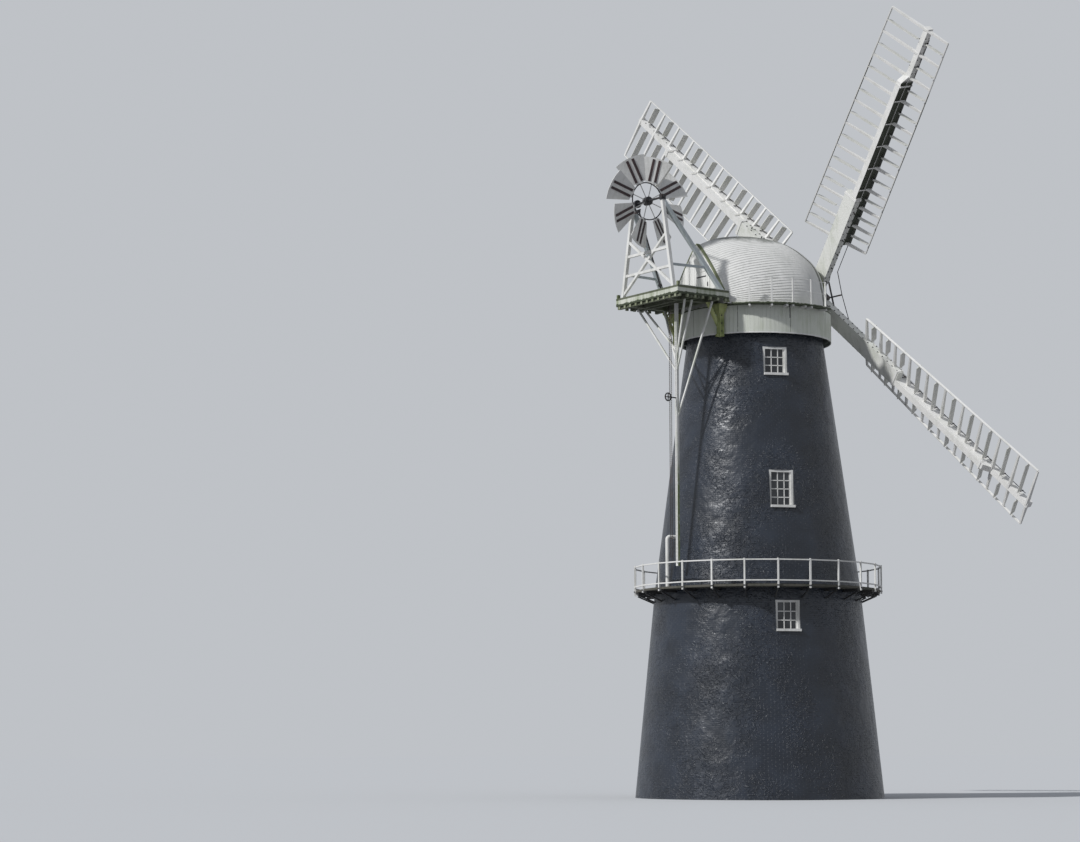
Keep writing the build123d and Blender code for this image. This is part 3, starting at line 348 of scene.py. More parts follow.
def tarred_brick():
    """Tar whose relief is swells, courses and pits added up, with pale specks where it is worn."""
    finish = Finish("tarred_brick", specular=0.62)
    angle = finish.math("ARCTAN2", finish.part(1), finish.part(0))
    unrolled = finish.add("CombineXYZ", {0: angle * WALL_MEAN_RADIUS, 1: finish.part(2)}, 0)
    bricks = finish.bricks(unrolled, {"Brick Width": BRICK_LENGTH, "Row Height": BRICK_HEIGHT,
                                      "Mortar Size": 0.008, "Mortar Smooth": 0.6,
                                      "Color1": (1, 1, 1), "Color2": (0.72, 0.72, 0.72)})
    course = finish.add("RGBToBW", {0: bricks}, 0)
    patches = finish.noise(0.9, 5.0)
    swells = finish.noise(1.8, 3.0)
    pits = finish.between(finish.noise(7.0, 4.0, finish.stretched((1.0, 1.0, 1.5)), 0.6), 0.50, 0.60)
    pitted = pits * finish.between(finish.noise(0.55, 2.0), 0.36, 0.58)
    specks = finish.between(finish.noise(13.0, 6.0, finish.stretched((1, 1, 1.6))), 0.62, 0.76)
    worn = specks * finish.between(patches, 0.42, 0.62)
    # The blue of these tar colours is a painted reflection of the sky; their darkness is the tar's own.
    colour = finish.mixed(finish.between(patches, 0.3, 0.75), (0.008, 0.012, 0.020), (0.018, 0.026, 0.042))
    colour = finish.mixed(worn * 0.6, colour, (0.20, 0.20, 0.19))
    finish.bump(swells * 1.2 + course * 0.10 + pitted * 0.50, 0.05)
    return finish.done(colour, finish.scaled(finish.noise(3.0, 4.0), 0.28, 0.42))


TARRED_BRICK = tarred_brick()
print("tar over bricks", BRICK_LENGTH, "by", BRICK_HEIGHT, "m")

# %% [markdown]
# Old white paint: clean at a distance, grey and slightly green up close. Rain draws thin dark streaks
# down, the grain shows as fine lines along the timber, and flat undersides keep some moss.

# %% Old white paint
GRAIN_AXES = {"x": (0.6, 9.0, 9.0), "y": (9.0, 0.6, 9.0), "z": (9.0, 9.0, 0.6), "any": (6.0, 6.0, 6.0)}


def old_paint(name, colour, stain, amount, grain="any", roughness=0.55, dark_green_below=None, extra=None):
    """Paint that fades into a stain where two noises agree; a dark green can cover what lies below a height,
    and a last layer of its own can lie over that."""
    finish = Finish(name, specular=0.35)
    patches = finish.noise(1.3, 5.0)
    streaks = finish.noise(1.0, 3.0, finish.stretched((7.0, 7.0, 0.5)))
    fine = finish.noise(2.2, 4.0, finish.stretched(GRAIN_AXES[grain]))
    dirt = finish.between(patches * 0.6 + streaks * 0.5, 0.48, 0.74)
    shade = finish.mixed(dirt * amount, colour, stain)
    paler = tuple(min(1.0, part * 1.06) for part in colour)
    shade = finish.mixed(finish.between(fine, 0.45, 0.7) * 0.35, shade, paler)
    chips = finish.between(finish.noise(17.0, 5.0, finish.stretched(GRAIN_AXES[grain])), 0.66, 0.72)
    shade = finish.mixed(chips * amount, shade, (0.20, 0.19, 0.16))
    # Below the height: moss, and on the gallery also the painted shade under its floor.
    if dark_green_below is not None:
        low = dark_green_below - finish.part(2) + (streaks - 0.5) * 0.12
        shade = finish.mixed(finish.between(low, 0.0, 0.02), shade, (0.050, 0.062, 0.034))
    if extra is not None:
        shade = extra(finish, shade)
    finish.bump(fine - chips * 0.5, 0.006)
    return finish.done(shade, finish.scaled(fine, roughness - 0.1, roughness + 0.15))


WHITE = (0.74, 0.735, 0.71)
# The sail white is a lighter copy of the shutters' white: painted light, so the bars look pale.
SAIL_WHITE_PAINTED_LIGHT = (0.80, 0.79, 0.765)
SAIL_STAIN = (0.50, 0.51, 0.44)
# The gallery is painted dark below its floor's top as moss and painted shade; the fascia's lower edge as
# moss.
GALLERY_MOSS_AND_SHADE_TOP = 18.492
FASCIA_MOSS_TOP = 18.69
GREY_STAIN = (0.42, 0.42, 0.37)
GREEN_STAIN = (0.27, 0.31, 0.20)
PAINT = old_paint("white_paint", WHITE, GREY_STAIN, 0.45)
PAINT_UPRIGHT = old_paint("white_paint_upright", WHITE, GREY_STAIN, 0.4, "z")
PETTICOAT_PAINT = old_paint("petticoat_paint", (0.64, 0.66, 0.59), (0.42, 0.46, 0.34), 0.6, "z", 0.6)
SAIL_PAINT = old_paint("sail_paint", SAIL_WHITE_PAINTED_LIGHT, SAIL_STAIN, 0.35, "any", 0.5)
# The shutters' paint is a darker copy of the sail white: painted shade, with some weathering.
SHUTTER_WEAR_AND_SHADE_PAINT = old_paint("shutter_wear_and_shade_paint", (0.70, 0.695, 0.655), (0.42, 0.43, 0.34), 0.5, "any", 0.6)
STOCK_PAINT = old_paint("stock_paint", (0.74, 0.74, 0.70), (0.40, 0.43, 0.33), 0.45, "any", 0.55)
BRACE_PAINT = old_paint("brace_paint", (0.42, 0.46, 0.48), (0.24, 0.27, 0.24), 0.6, "any", 0.5)
GALLERY_PAINT = old_paint("gallery_paint", (0.50, 0.51, 0.45), GREEN_STAIN, 0.7, "any", 0.6,
                          GALLERY_MOSS_AND_SHADE_TOP)
DECK_PAINT = old_paint("fan_deck_paint", (0.62, 0.63, 0.57), GREEN_STAIN, 0.8, "x", 0.6)
FASCIA_PAINT = old_paint("fascia_paint", (0.60, 0.61, 0.54), GREEN_STAIN, 1.0, "z", 0.6, FASCIA_MOSS_TOP)
END_PAINT = old_paint("joist_end_paint", (0.27, 0.29, 0.20), (0.12, 0.14, 0.07), 1.0, "any", 0.7)
POST_PAINT = old_paint("tail_post_paint", (0.46, 0.50, 0.22), (0.15, 0.19, 0.06), 1.0, "z", 0.7)
# Dark green wood: moss, and painted shade in the gaps along the cap's front edge and the fan deck's sides.
MOSS_AND_SHADE_WOOD = old_paint("moss_and_shade_wood", (0.20, 0.22, 0.13), (0.07, 0.09, 0.04), 0.9, "z", 0.8)
# Near-black green timber under the fan stage: moss and the painted shade of the stage above it.
JOIST_MOSS_AND_SHADE_WOOD = old_paint("joist_moss_and_shade_wood", (0.13, 0.14, 0.10), (0.06, 0.075, 0.035), 0.9, "any", 0.8)
DARK_WOOD = old_paint("dark_wood", (0.095, 0.09, 0.075), (0.05, 0.055, 0.04), 0.9, "any", 0.75)
FLOOR_WOOD = old_paint("floor_wood", (0.38, 0.29, 0.19), (0.20, 0.15, 0.10), 0.7, "x", 0.65)
BATTEN_PAINT = old_paint("batten_paint", (0.045, 0.03, 0.032), (0.11, 0.06, 0.055), 0.6, "any", 0.5)
print("paints", len([name for name in bpy.data.materials.keys() if "paint" in name]))

# %% [markdown]
# Weather works by place, and so does some painted shade. The side of the upper sail that never sees the sun
# is black with moss and painted shade, the pole is green low down on one side, and the cap has a stain at its
# crest and a line of painted shade with moss round its front shoulder.

# %% Stains and painted shade that belong to one place
# The upper sail's unlit side is painted this dark: moss and painted shade together.
SHADE_AND_MOSS_DARK = (0.030, 0.036, 0.022)


def moss_and_shade_side(direction, edge_noise, colour, way, end, fade):
    """A last layer for old_paint: a dark colour on the faces that look along a direction, as far as an
    end that is measured along a way, where it fades out. On the upper sail it is moss and painted shade."""
    def layer(finish, shade):
        ragged = (finish.noise(5.0, 4.0) - 0.5) * edge_noise
        side = finish.between(finish.along(finish.outward, direction) + ragged, 0.72, 0.86)
        inside = finish.between(end - finish.along(finish.place, way), 0.0, fade)
        return finish.mixed(side * inside, shade, colour)
    return layer


def cap_stains_and_shade(finish, shade):
    """A dark line of painted shade with moss round the front shoulder, which lies further back near the
    crest, and a stain on the crest."""
    ragged = (finish.noise(2.4, 5.0) - 0.5) * 0.5
    height = finish.between(finish.part(2), 20.2, 21.4)
    line = height * -0.95 + 1.60
    ahead = finish.part(1) * -1.0 - line + ragged * 0.5
    behind = 1.0 - finish.between(ahead, 0.12, 0.34)
    # The shoulder line is painted shade along the cap's front edge, mixed with moss.
    shoulder = finish.between(ahead, 0.0, 0.06) * behind
    crest = finish.between(finish.part(2) + ragged, 21.12, 21.42)
    shade = finish.mixed(crest * 0.85, shade, (0.13, 0.14, 0.12))
    return finish.mixed(shoulder * 0.9, shade, (0.06, 0.07, 0.045))


UPPER_SAIL_SIDE = (-0.711, -0.175, -0.681)
UPPER_SAIL_WAY = (-0.703, 0.177, 0.689)
UPPER_SAIL_END = 23.3
POLE_SIDE = (-0.80, -0.60, 0.0)
POLE_MOSS_TOP = 13.0
# The upper sail's dark side is moss and painted shade; the pole's green side is moss.
sail_moss_and_shade = moss_and_shade_side(UPPER_SAIL_SIDE, 0.35, SHADE_AND_MOSS_DARK, UPPER_SAIL_WAY, UPPER_SAIL_END, 0.15)
pole_moss = moss_and_shade_side(POLE_SIDE, 0.5, (0.22, 0.27, 0.13), (0.0, 0.0, 1.0), POLE_MOSS_TOP, 1.5)
MOSSY_SHADED_FRAME = old_paint("mossy_and_shaded_frame_paint", SAIL_WHITE_PAINTED_LIGHT, SAIL_STAIN, 0.35, extra=sail_moss_and_shade)
POLE_PAINT = old_paint("pole_paint", WHITE, (0.40, 0.44, 0.30), 0.5, "z", extra=pole_moss)
CAP_PAINT = old_paint("stained_and_shaded_cap_paint", (0.72, 0.715, 0.69), (0.42, 0.43, 0.40), 0.3, "y", 0.55,
                      extra=cap_stains_and_shade)
print("stained", MOSSY_SHADED_FRAME.name, POLE_PAINT.name, CAP_PAINT.name)


# %% [markdown]
# Iron on a mill is painted black and goes brown where water sits. Glass is nearly black from outside
# because the rooms behind it are dark. The floor inside the tower is paved with worn stone.

# %% Iron, glass and stone
def black_iron(name, colour, rust, amount, roughness=0.45):
    """Black paint over iron, with rust where a coarse noise is high."""
    finish = Finish(name)
    rusty = finish.between(finish.noise(3.5, 6.0, distortion=0.4), 0.52, 0.7)
    fine = finish.noise(38.0, 4.0)
    shade = finish.mixed(rusty * amount, colour, rust)
    finish.bump(fine + rusty * 0.6, 0.002)
    return finish.done(shade, finish.scaled(fine, roughness - 0.08, roughness + 0.2))


def window_glass():
    """Dark old glass that is a little uneven."""
    finish = Finish("window_glass", specular=0.6)
    uneven = finish.noise(2.6, 2.0)
    finish.bump(uneven, 0.004)
    cloudy = finish.between(finish.noise(1.4, 2.0), 0.35, 0.7)
    shade = finish.mixed(cloudy, (0.012, 0.014, 0.018), (0.05, 0.055, 0.06))
    return finish.done(shade, finish.scaled(uneven, 0.04, 0.16))


def paving():
    """Slabs with joints between them, dulled by a fine noise."""
    finish = Finish("paving_stone")
    stones = finish.bricks(finish.place, {"Brick Width": 0.42, "Row Height": 0.3, "Mortar Size": 0.012,
                                          "Color1": (0.33, 0.31, 0.27), "Color2": (0.25, 0.24, 0.22),
                                          "Mortar": (0.14, 0.13, 0.12)})
    fine = finish.noise(9.0, 5.0)
    finish.bump(fine, 0.008)
    shade = finish.mixed(fine * 0.4, stones, (0.20, 0.19, 0.17))
    return finish.done(shade, finish.scaled(fine, 0.6, 0.9))


IRON = black_iron("black_iron", (0.022, 0.022, 0.025), (0.09, 0.045, 0.025), 0.5)
RUSTY_IRON = black_iron("rusty_iron", (0.05, 0.042, 0.036), (0.13, 0.06, 0.03), 0.8, 0.6)
STAGE_IRON = black_iron("stage_iron", (0.03, 0.03, 0.032), (0.06, 0.05, 0.035), 0.5, 0.5)
GLASS = window_glass()
PAVING = paving()
print("iron finishes, glass and stone ready")


# %% [markdown]
# The fan's ring and hub are black but its spokes are light, and all are one iron casting in the model.
# The distance from the fan's axle tells them apart: spokes are what lies between the hub and the ring.

# %% Fan ring with light spokes
FAN_Y = 5.15
FAN_Z = 22.40
HUB_EDGE = 0.172
RING_EDGE = 0.682


def fan_casting():
    """Black iron, but pale where the distance from the axle is more than the hub's and less than the
    ring's."""
    finish = Finish("fan_casting", specular=0.45)
    across, upward = finish.part(1) - FAN_Y, finish.part(2) - FAN_Z
    radius = finish.math("SQRT", finish.math("POWER", across, 2.0) + finish.math("POWER", upward, 2.0))
    outside_hub = finish.math("GREATER_THAN", radius, HUB_EDGE)
    inside_ring = finish.math("LESS_THAN", radius, RING_EDGE)
    fine = finish.noise(24.0, 4.0)
    pale = finish.mixed(finish.between(fine, 0.4, 0.7), (0.66, 0.66, 0.63), (0.46, 0.44, 0.40))
    black = finish.mixed(finish.between(fine, 0.5, 0.75), (0.02, 0.02, 0.023), (0.06, 0.04, 0.03))
    finish.bump(fine, 0.002)
    shade = finish.mixed(outside_hub * inside_ring, black, pale)
    return finish.done(shade, finish.scaled(fine, 0.35, 0.6))


FAN_CASTING = fan_casting()
print("fan casting: spokes from", HUB_EDGE, "to", RING_EDGE, "m")

# %% [markdown]
# Each node of the model now gets its finish. The nodes keep their shape, so only the material changes.

# %% Give every node its finish
finishes = {
    "ground_floor": PAVING, "timber_floors": FLOOR_WOOD, "curb_ring": RUSTY_IRON,
    "window_frames": PAINT, "window_panes": GLASS, "door_frames": PAINT_UPRIGHT, "door_leaves": PAINT_UPRIGHT,
    "stage_deck": DARK_WOOD, "stage_brackets": STAGE_IRON, "stage_railing": PAINT, "vent_pipe": PAINT_UPRIGHT,
    "cap_ring": DARK_WOOD, "cap_sheers": JOIST_MOSS_AND_SHADE_WOOD, "cap_shell": CAP_PAINT, "rear_gable": PAINT_UPRIGHT,
    "gable_door": PAINT_UPRIGHT, "petticoat": PETTICOAT_PAINT, "gallery_floor": GALLERY_PAINT,
    "gallery_railing": PAINT, "fan_stage_deck": JOIST_MOSS_AND_SHADE_WOOD, "fan_stage_fascia": FASCIA_PAINT,
    "tail_brackets": POST_PAINT, "fan_posts": PAINT, "fan_long_braces": BRACE_PAINT, "fan_bearings": IRON,
    "fan_drive": IRON, "chain_pole": POLE_PAINT, "chain_guide": IRON, "hand_chain": RUSTY_IRON,
    "shaft_bearings": IRON, "windshaft": IRON, "poll_end": IRON, "spider_gear": IRON, "fan_axle": IRON,
    "fan_ring": FAN_CASTING, "fan_blades": PAINT, "sail_frame_1": MOSSY_SHADED_FRAME,
}
families = {"tower_wall": TARRED_BRICK, "stock": STOCK_PAINT, "sail_frame": SAIL_PAINT,
            "sail_shutters": SHUTTER_WEAR_AND_SHADE_PAINT}
for name, node in nodes.items():
    family = next((start for start in families if name.startswith(start)), None)
    finish = finishes.get(name) or families[family]
    for material_slot in node.material_slots:
        material_slot.link = "OBJECT"
        material_slot.material = finish
print("finished nodes", len(nodes))

# %% [markdown]
# ## Floor and light
# A plain pale floor and a pale world show the dark tower well. One key lamp with the sharp shadows of the
# sun stands high behind the camera's left shoulder, where the sun stood. The photograph has deep shade on the
# shutters, so little light may come from below: the floor and the world look pale to the camera, but give
# less light than they show.

# %% Make the floor
FLOOR_HALF = 400.0
FLOOR_SEEN = (0.56, 0.57, 0.58)
FLOOR_GIVEN = (0.24, 0.24, 0.25)


def seen_directly(tree):
    """1 for rays that show the background: from the camera, in a mirror, or through glass."""
    path = tree.nodes.new("ShaderNodeLightPath")
    total = path.outputs["Is Camera Ray"]
    for name in ("Is Glossy Ray", "Is Transmission Ray"):
        node = tree.nodes.new("ShaderNodeMath")
        node.operation = "MAXIMUM"
        tree.links.new(total, node.inputs[0])
        tree.links.new(path.outputs[name], node.inputs[1])
        total = node.outputs[0]
    return total


floor_finish = Finish("floor_paper", specular=0.0)
floor_seen = Signal(floor_finish, seen_directly(floor_finish.tree))
floor_colour = floor_finish.mixed(floor_seen, FLOOR_GIVEN, FLOOR_SEEN)
floor_material = floor_finish.done(floor_colour, 0.9)
floor_mesh = bpy.data.meshes.new("floor")
floor_corners = [(x * FLOOR_HALF, y * FLOOR_HALF, 0.0) for x, y in ((-1, -1), (1, -1), (1, 1), (-1, 1))]
floor_mesh.from_pydata(floor_corners, [], [(0, 1, 2, 3)])
floor_mesh.materials.append(floor_material)
floor = in_scene("floor", floor_mesh)
print("floor", 2 * FLOOR_HALF, "m wide")

# %% Make the lights
KEY_STRENGTH = 2.9
KEY_SPREAD = math.radians(3)
KEY_DIRECTION = Vector((-0.04, -0.80, -0.62))
WORLD_SEEN = (0.52, 0.54, 0.57)
WORLD_GIVEN = (0.36, 0.38, 0.42)

lamp = bpy.data.lights.new("key_lamp", "SUN")
lamp.energy = KEY_STRENGTH
lamp.angle = KEY_SPREAD
aim(in_scene("key_lamp", lamp), KEY_DIRECTION)

world = bpy.data.worlds.new("studio")
bpy.context.scene.world = world
world.use_nodes = True
world_mix = world.node_tree.nodes.new("ShaderNodeMix")
world_mix.data_type = "RGBA"
world_mix.inputs[6].default_value = (*WORLD_GIVEN, 1.0)
world_mix.inputs[7].default_value = (*WORLD_SEEN, 1.0)
world.node_tree.links.new(seen_directly(world.node_tree), world_mix.inputs["Factor"])
world.node_tree.links.new(world_mix.outputs[2], world.node_tree.nodes["Background"].inputs["Color"])
bpy.context.scene.view_settings.view_transform = "Standard"
print("lamps", [light.name for light in bpy.data.lights])

# %% [markdown]
# ## Windows and doors
# Each window is a white frame with thin glazing bars that divide it in three across, and in three or four
# up. The bars stand just in front of the pane. The doors are on the far side: upright boards with strap
# hinges.

# %% Sizes shared with the tower
WINDOW_BEARINGS = (156.8, 336.8)
WINDOW_CENTRES = (6.69, 11.43, 16.32)
WINDOW_HEIGHTS = (1.15, 1.42, 1.10)
WINDOW_ROWS = (3, 4, 3)
WINDOW_COLUMNS = 3
WINDOW_WIDTH = 0.93
FRAME_BORDER = 0.085
FRAME_MIDDLE = 0.085
STAGE_Z = 7.80
TOWER_TOP_Z = 17.90


def tower_radius(z):
    """Two straight batters: 4.70 to 3.92 up to the stage, then 2.56 at the top."""
    return np.interp(z, (0.0, STAGE_Z, TOWER_TOP_Z), (4.70, 3.92, 2.56))


# %% Glazing bars
BAR_WIDTH = 0.034
BAR_DEPTH = 0.026
LINING_WIDTH = 0.06
LINING_SETBACK = 0.004
opening_width = WINDOW_WIDTH - 2 * FRAME_BORDER

bar_parts = []
for outward in at_bearing(1.0, WINDOW_BEARINGS, 0.0):
    sideways = np.cross(UP, outward)
    for centre, height, rows in zip(WINDOW_CENTRES, WINDOW_HEIGHTS, WINDOW_ROWS):
        radius = tower_radius(centre + height / 2) - FRAME_MIDDLE + BAR_DEPTH / 2
        middle = outward * radius + UP * centre
        opening_height = height - 2 * FRAME_BORDER
        across = (np.arange(1, WINDOW_COLUMNS) / WINDOW_COLUMNS - 0.5) * opening_width
        upward = (np.arange(1, rows) / rows - 0.5) * opening_height
        bar_parts.append(timbers(middle + across[:, None] * sideways, UP, sideways,
                                 (opening_height, BAR_WIDTH, BAR_DEPTH)))
        bar_parts.append(timbers(middle + upward[:, None] * UP, sideways, UP,
                                 (opening_width, BAR_WIDTH, BAR_DEPTH)))
        lining = middle + sideways * (opening_width - LINING_WIDTH) / 2 - outward * LINING_SETBACK
        bar_parts.append(timbers(lining, UP, sideways, (opening_height, LINING_WIDTH, BAR_DEPTH)))
piece("window_bars", bar_parts, PAINT, "tower")


# %% Boarded doors
DOOR_BOARD = 0.018
BOARD_GAP = 0.008
HINGE_LEVELS = np.array((0.16, 0.82))
HINGE_SHARE = 0.72
HANDLE_SHARE = 0.36
HANDLE_HALF = 0.05
HANDLE_LEVEL = 0.48
HANDLE_RADIUS = 0.012
HANDLE_PLATE = (0.16, 0.05, 0.012)
HINGE_SHIFT = 0.12
STRAP_SECTION = (0.045, 0.008)
DOOR_HEIGHT = 2.0
DOOR_FACE_RECESS = 0.07


def boarded_door(foot, outward, width, height, boards, hinge_side):
    """Upright boards with a small gap, two strap hinges and a handle; levels are shares of the height."""
    sideways = np.cross(UP, outward)
    hinge_way = sideways * hinge_side * width
    pitch = width / boards
    offsets = (np.arange(boards) + 0.5) * pitch - width / 2
    centres = foot + outward * DOOR_BOARD / 2 + UP * height / 2 + offsets[:, None] * sideways
    wood = [timbers(centres, UP, sideways, (height - 0.02, pitch - BOARD_GAP, DOOR_BOARD))]
    straps = foot + outward * 0.022 + HINGE_LEVELS[:, None] * height * UP + hinge_way * HINGE_SHIFT
    handle = foot + outward * 0.03 + UP * height * HANDLE_LEVEL - hinge_way * HANDLE_SHARE
    iron = [timbers(straps, sideways, UP, (width * HINGE_SHARE, *STRAP_SECTION)),
            rods(handle - UP * HANDLE_HALF, handle + UP * HANDLE_HALF, HANDLE_RADIUS),
            timbers(handle - outward * 0.008, UP, sideways, HANDLE_PLATE)]
    return wood, iron


FAR_OUTWARD = at_bearing(1.0, WINDOW_BEARINGS[1], 0.0)
door_wood, door_iron = [], []
for floor_z in (0.0, STAGE_Z):
    foot = FAR_OUTWARD * (tower_radius(floor_z + DOOR_HEIGHT) - DOOR_FACE_RECESS) + UP * floor_z
    wood, iron = boarded_door(foot, FAR_OUTWARD, 0.77, 1.90, 7, 1)
    door_wood += wood
    door_iron += iron
piece("door_boards", door_wood, PAINT_UPRIGHT, "tower")
piece("door_ironwork", door_iron, IRON, "tower")

GABLE_FACE_Y = 2.80
FAN_DECK_Z = 18.91
gable_foot = np.array((-0.38, GABLE_FACE_Y, FAN_DECK_Z))
wood, iron = boarded_door(gable_foot, Y_AXIS, 0.80, 0.95, 6, -1)
piece("gable_door_boards", wood, PAINT_UPRIGHT, "cap")
piece("gable_door_ironwork", iron, IRON, "cap")

# %% [markdown]
# ## The stage
# The deck has 24 straight sides. Its boards run along each side and meet on the lines to the corners.
# Small iron feet hold the rail posts to the edge.

# %% Stage boards
STAGE_SIDES = 24
STAGE_BOARDS = 5
STAGE_INNER = 3.93
STAGE_RADIUS = 4.68
STAGE_APOTHEM = STAGE_RADIUS * math.cos(math.pi / STAGE_SIDES)
MITRE_SHARE = 0.996
STAGE_BOARD_FACES = (STAGE_Z - 0.004, STAGE_Z + 0.02)


def stage_boards():
    """Each board is a trapezium: its corners lie where two lines at fixed distances from the axis cross
    the two lines to the side's corners, so a corner is distance times (1, tangent of half the side's
    angle)."""
    side, row = np.meshgrid(np.arange(STAGE_SIDES), np.arange(STAGE_BOARDS), indexing="ij")
    side, row = side.ravel(), row.ravel()
    width = (STAGE_APOTHEM - STAGE_INNER) / STAGE_BOARDS
    inner = STAGE_INNER + row * width + BOARD_GAP / 2
    outer = inner + width - BOARD_GAP
    spread = math.tan(math.pi / STAGE_SIDES) * MITRE_SHARE
    middle = 360 * (side + 0.5) / STAGE_SIDES
    outward, sideways = at_bearing(1.0, middle, 0.0), at_bearing(1.0, middle + 90, 0.0)
    corners = [(outward + sign * spread * sideways) * distance[:, None] + UP * z
               for distance in (inner, outer) for sign in (-1, 1) for z in STAGE_BOARD_FACES]
    return slabs(np.stack(corners, axis=1))


piece("stage_boards", [stage_boards()], DARK_WOOD, "tower")

FOOT_RADIUS = 4.742
FOOT_DROP = 0.035
FOOT_SIZES = (0.05, 0.014, 0.11)
KNOB_RADIUS = 4.71
RAIL_HEIGHT = 0.93
KNOB_HEIGHT = 0.025
KNOB_WIDTH = 0.072
post_turns = np.arange(STAGE_SIDES) * 360 / STAGE_SIDES
foot_places = at_bearing(FOOT_RADIUS, post_turns, STAGE_Z - FOOT_DROP)
feet = timbers(foot_places, UP, at_bearing(1.0, post_turns, 0.0), FOOT_SIZES)
knob_places = at_bearing(KNOB_RADIUS, post_turns, STAGE_Z + RAIL_HEIGHT)
knobs = rods(knob_places, knob_places + UP * KNOB_HEIGHT, KNOB_WIDTH / 2)
piece("stage_post_irons", [feet], STAGE_IRON, "tower")
piece("stage_post_caps", [knobs], PAINT, "tower")

# %% [markdown]
# ## The cap
# The cap is planked like a boat: narrow boards run from the gable to the front and lap over each other
# like the planks of a hull. Its surface is a row of arches. Between two ribs, the half width, the ridge
# and the roundness follow a smooth curve through the rib values, and a board's lower edge stands a little
# proud of the next.

# %% The cap's arches
CAP_FOOT = 18.50
# Place along Y, half width, ridge height and roundness of each rib
CAP_RIBS = np.array((
    (2.75, 1.80, 20.98, 1.12), (2.00, 2.23, 21.29, 1.35), (1.00, 2.54, 21.50, 1.55),
    (0.00, 2.64, 21.56, 1.75), (-1.00, 2.45, 21.43, 1.95), (-1.70, 2.12, 21.15, 2.10),
    (-2.00, 1.88, 20.95, 2.30), (-2.35, 1.43, 20.50, 2.90)))


def rib_values(y):
    """Half width, ridge height and roundness at places along Y: a cubic between each two ribs, with the
    slope at a rib taken from its neighbours."""
    knots = CAP_RIBS[::-1, 0]
    values = CAP_RIBS[::-1, 1:]
    slopes = np.gradient(values, knots, axis=0)
    index = np.clip(np.searchsorted(knots, y) - 1, 0, len(knots) - 2)
    length = (knots[index + 1] - knots[index])[:, None]
    share = (y - knots[index])[:, None] / length
    rest = 1 - share
    behind = rest ** 2 * ((1 + 2 * share) * values[index] + share * length * slopes[index])
    ahead = share ** 2 * ((1 + 2 * rest) * values[index + 1] - rest * length * slopes[index + 1])
    return (behind + ahead).T


def arch_points(y, turn, lift=0.0):
    """Points of the arches on a grid of turns (rows) and places along Y (columns): x is the half width
    times the cosine, and z the height times the sine, each to the power two over the roundness; a lift
    moves them out."""
    width, ridge, roundness = rib_values(np.atleast_1d(y))
    height = ridge - CAP_FOOT
    turn = np.atleast_1d(turn)[:, None]
    cosine = np.maximum(np.cos(turn), 0.0)
    sine = np.maximum(np.sin(turn), 0.0)
    x = width * cosine ** (2 / roundness)
    z = CAP_FOOT + height * sine ** (2 / roundness)
    normal_x = cosine ** (2 - 2 / roundness) / width
    normal_z = sine ** (2 - 2 / roundness) / height
    size = np.sqrt(normal_x ** 2 + normal_z ** 2)
    x = x + lift * normal_x / size
    z = z + lift * normal_z / size
    return np.stack([x, np.broadcast_to(y, x.shape), z], axis=-1)


def over_the_top(half):
    """The half on the +X side, then its mirror image on the way down."""
    return np.concatenate([half, half[::-1] * (-1, 1, 1)], axis=0)


# %% Lapped cap boards
BOARDS_A_SIDE = 36
LAP_LIFT = 0.024
CAP_FRONT_Y = CAP_RIBS[-1, 0]
CAP_REAR_Y = 2.77
BOARD_SAMPLES = 72
BOARD_THICKNESS = 0.045


def even_turns(count):
    """Turns that divide the middle arch in pieces of equal length."""
    fine = np.linspace(0, np.pi / 2, 600)
    path = arch_points(0.0, fine)[:, 0]
    lengths = np.concatenate([[0], np.cumsum(np.linalg.norm(np.diff(path, axis=0), axis=1))])
    return np.interp(np.linspace(0, lengths[-1], count + 1), lengths, fine)


edges = even_turns(BOARDS_A_SIDE)
board_rows = np.repeat(edges, 2)[1:-1]
along_cap = np.linspace(CAP_REAR_Y, CAP_FRONT_Y, BOARD_SAMPLES)
fading = np.interp(along_cap, (-2.0, -0.4, 1.0), (0.0, 0.2, 1.0))
fading = fading * np.interp(board_rows, (0.0, 0.7, 1.3), (1.0, 0.7, 0.3))[:, None]
board_lifts = np.tile((LAP_LIFT, 0.0), BOARDS_A_SIDE)[:, None] * fading + 0.002
skin = over_the_top(arch_points(along_cap, board_rows, board_lifts))
walled(piece("cap_boards", [surface(skin)], CAP_PAINT, "cap", replaces=("cap_shell",)),
       BOARD_THICKNESS)

# %% [markdown]
# The front of the cap is a flat boarded face with a round hole for the windshaft. It is a fan of rings
# between the hole and the outline: each point goes from the hole's edge towards the outline at the same
# angle.

# %% Cap front
SHAFT_TILT = 14.4
HUB = np.array((0.0, -3.05, 19.395))
HOLE_RADIUS = 0.29
FRONT_ANGLES = 288
FRONT_RINGS = 6
FRONT_THICKNESS = 0.05


def shaft_height(y):
    """Height of the windshaft's axis above a place along Y: it falls by the tangent of its tilt."""
    return HUB[2] - (y - HUB[1]) * math.tan(math.radians(SHAFT_TILT))


def front_face(y):
    """Rings between the hole and the outline, looked at from the hole's centre."""
    centre = np.array((0.0, y, shaft_height(y)))
    arch = over_the_top(arch_points(y, np.linspace(0, np.pi / 2, 200)))[:, 0]
    foot = np.linspace(arch[-1], arch[0], 120)
    outline = np.concatenate([arch, foot]) - centre
    angle = np.arctan2(outline[:, 2], outline[:, 0])
    order = np.argsort(angle)
    turn = np.linspace(-np.pi, np.pi, FRONT_ANGLES, endpoint=False)
    reach = np.interp(turn, angle[order], np.hypot(outline[:, 0], outline[:, 2])[order], period=2 * np.pi)
    share = np.linspace(0, 1, FRONT_RINGS)[:, None]
    radius = HOLE_RADIUS + share * (reach - HOLE_RADIUS)
    return centre + columns(radius * np.cos(turn), 0.0, radius * np.sin(turn))


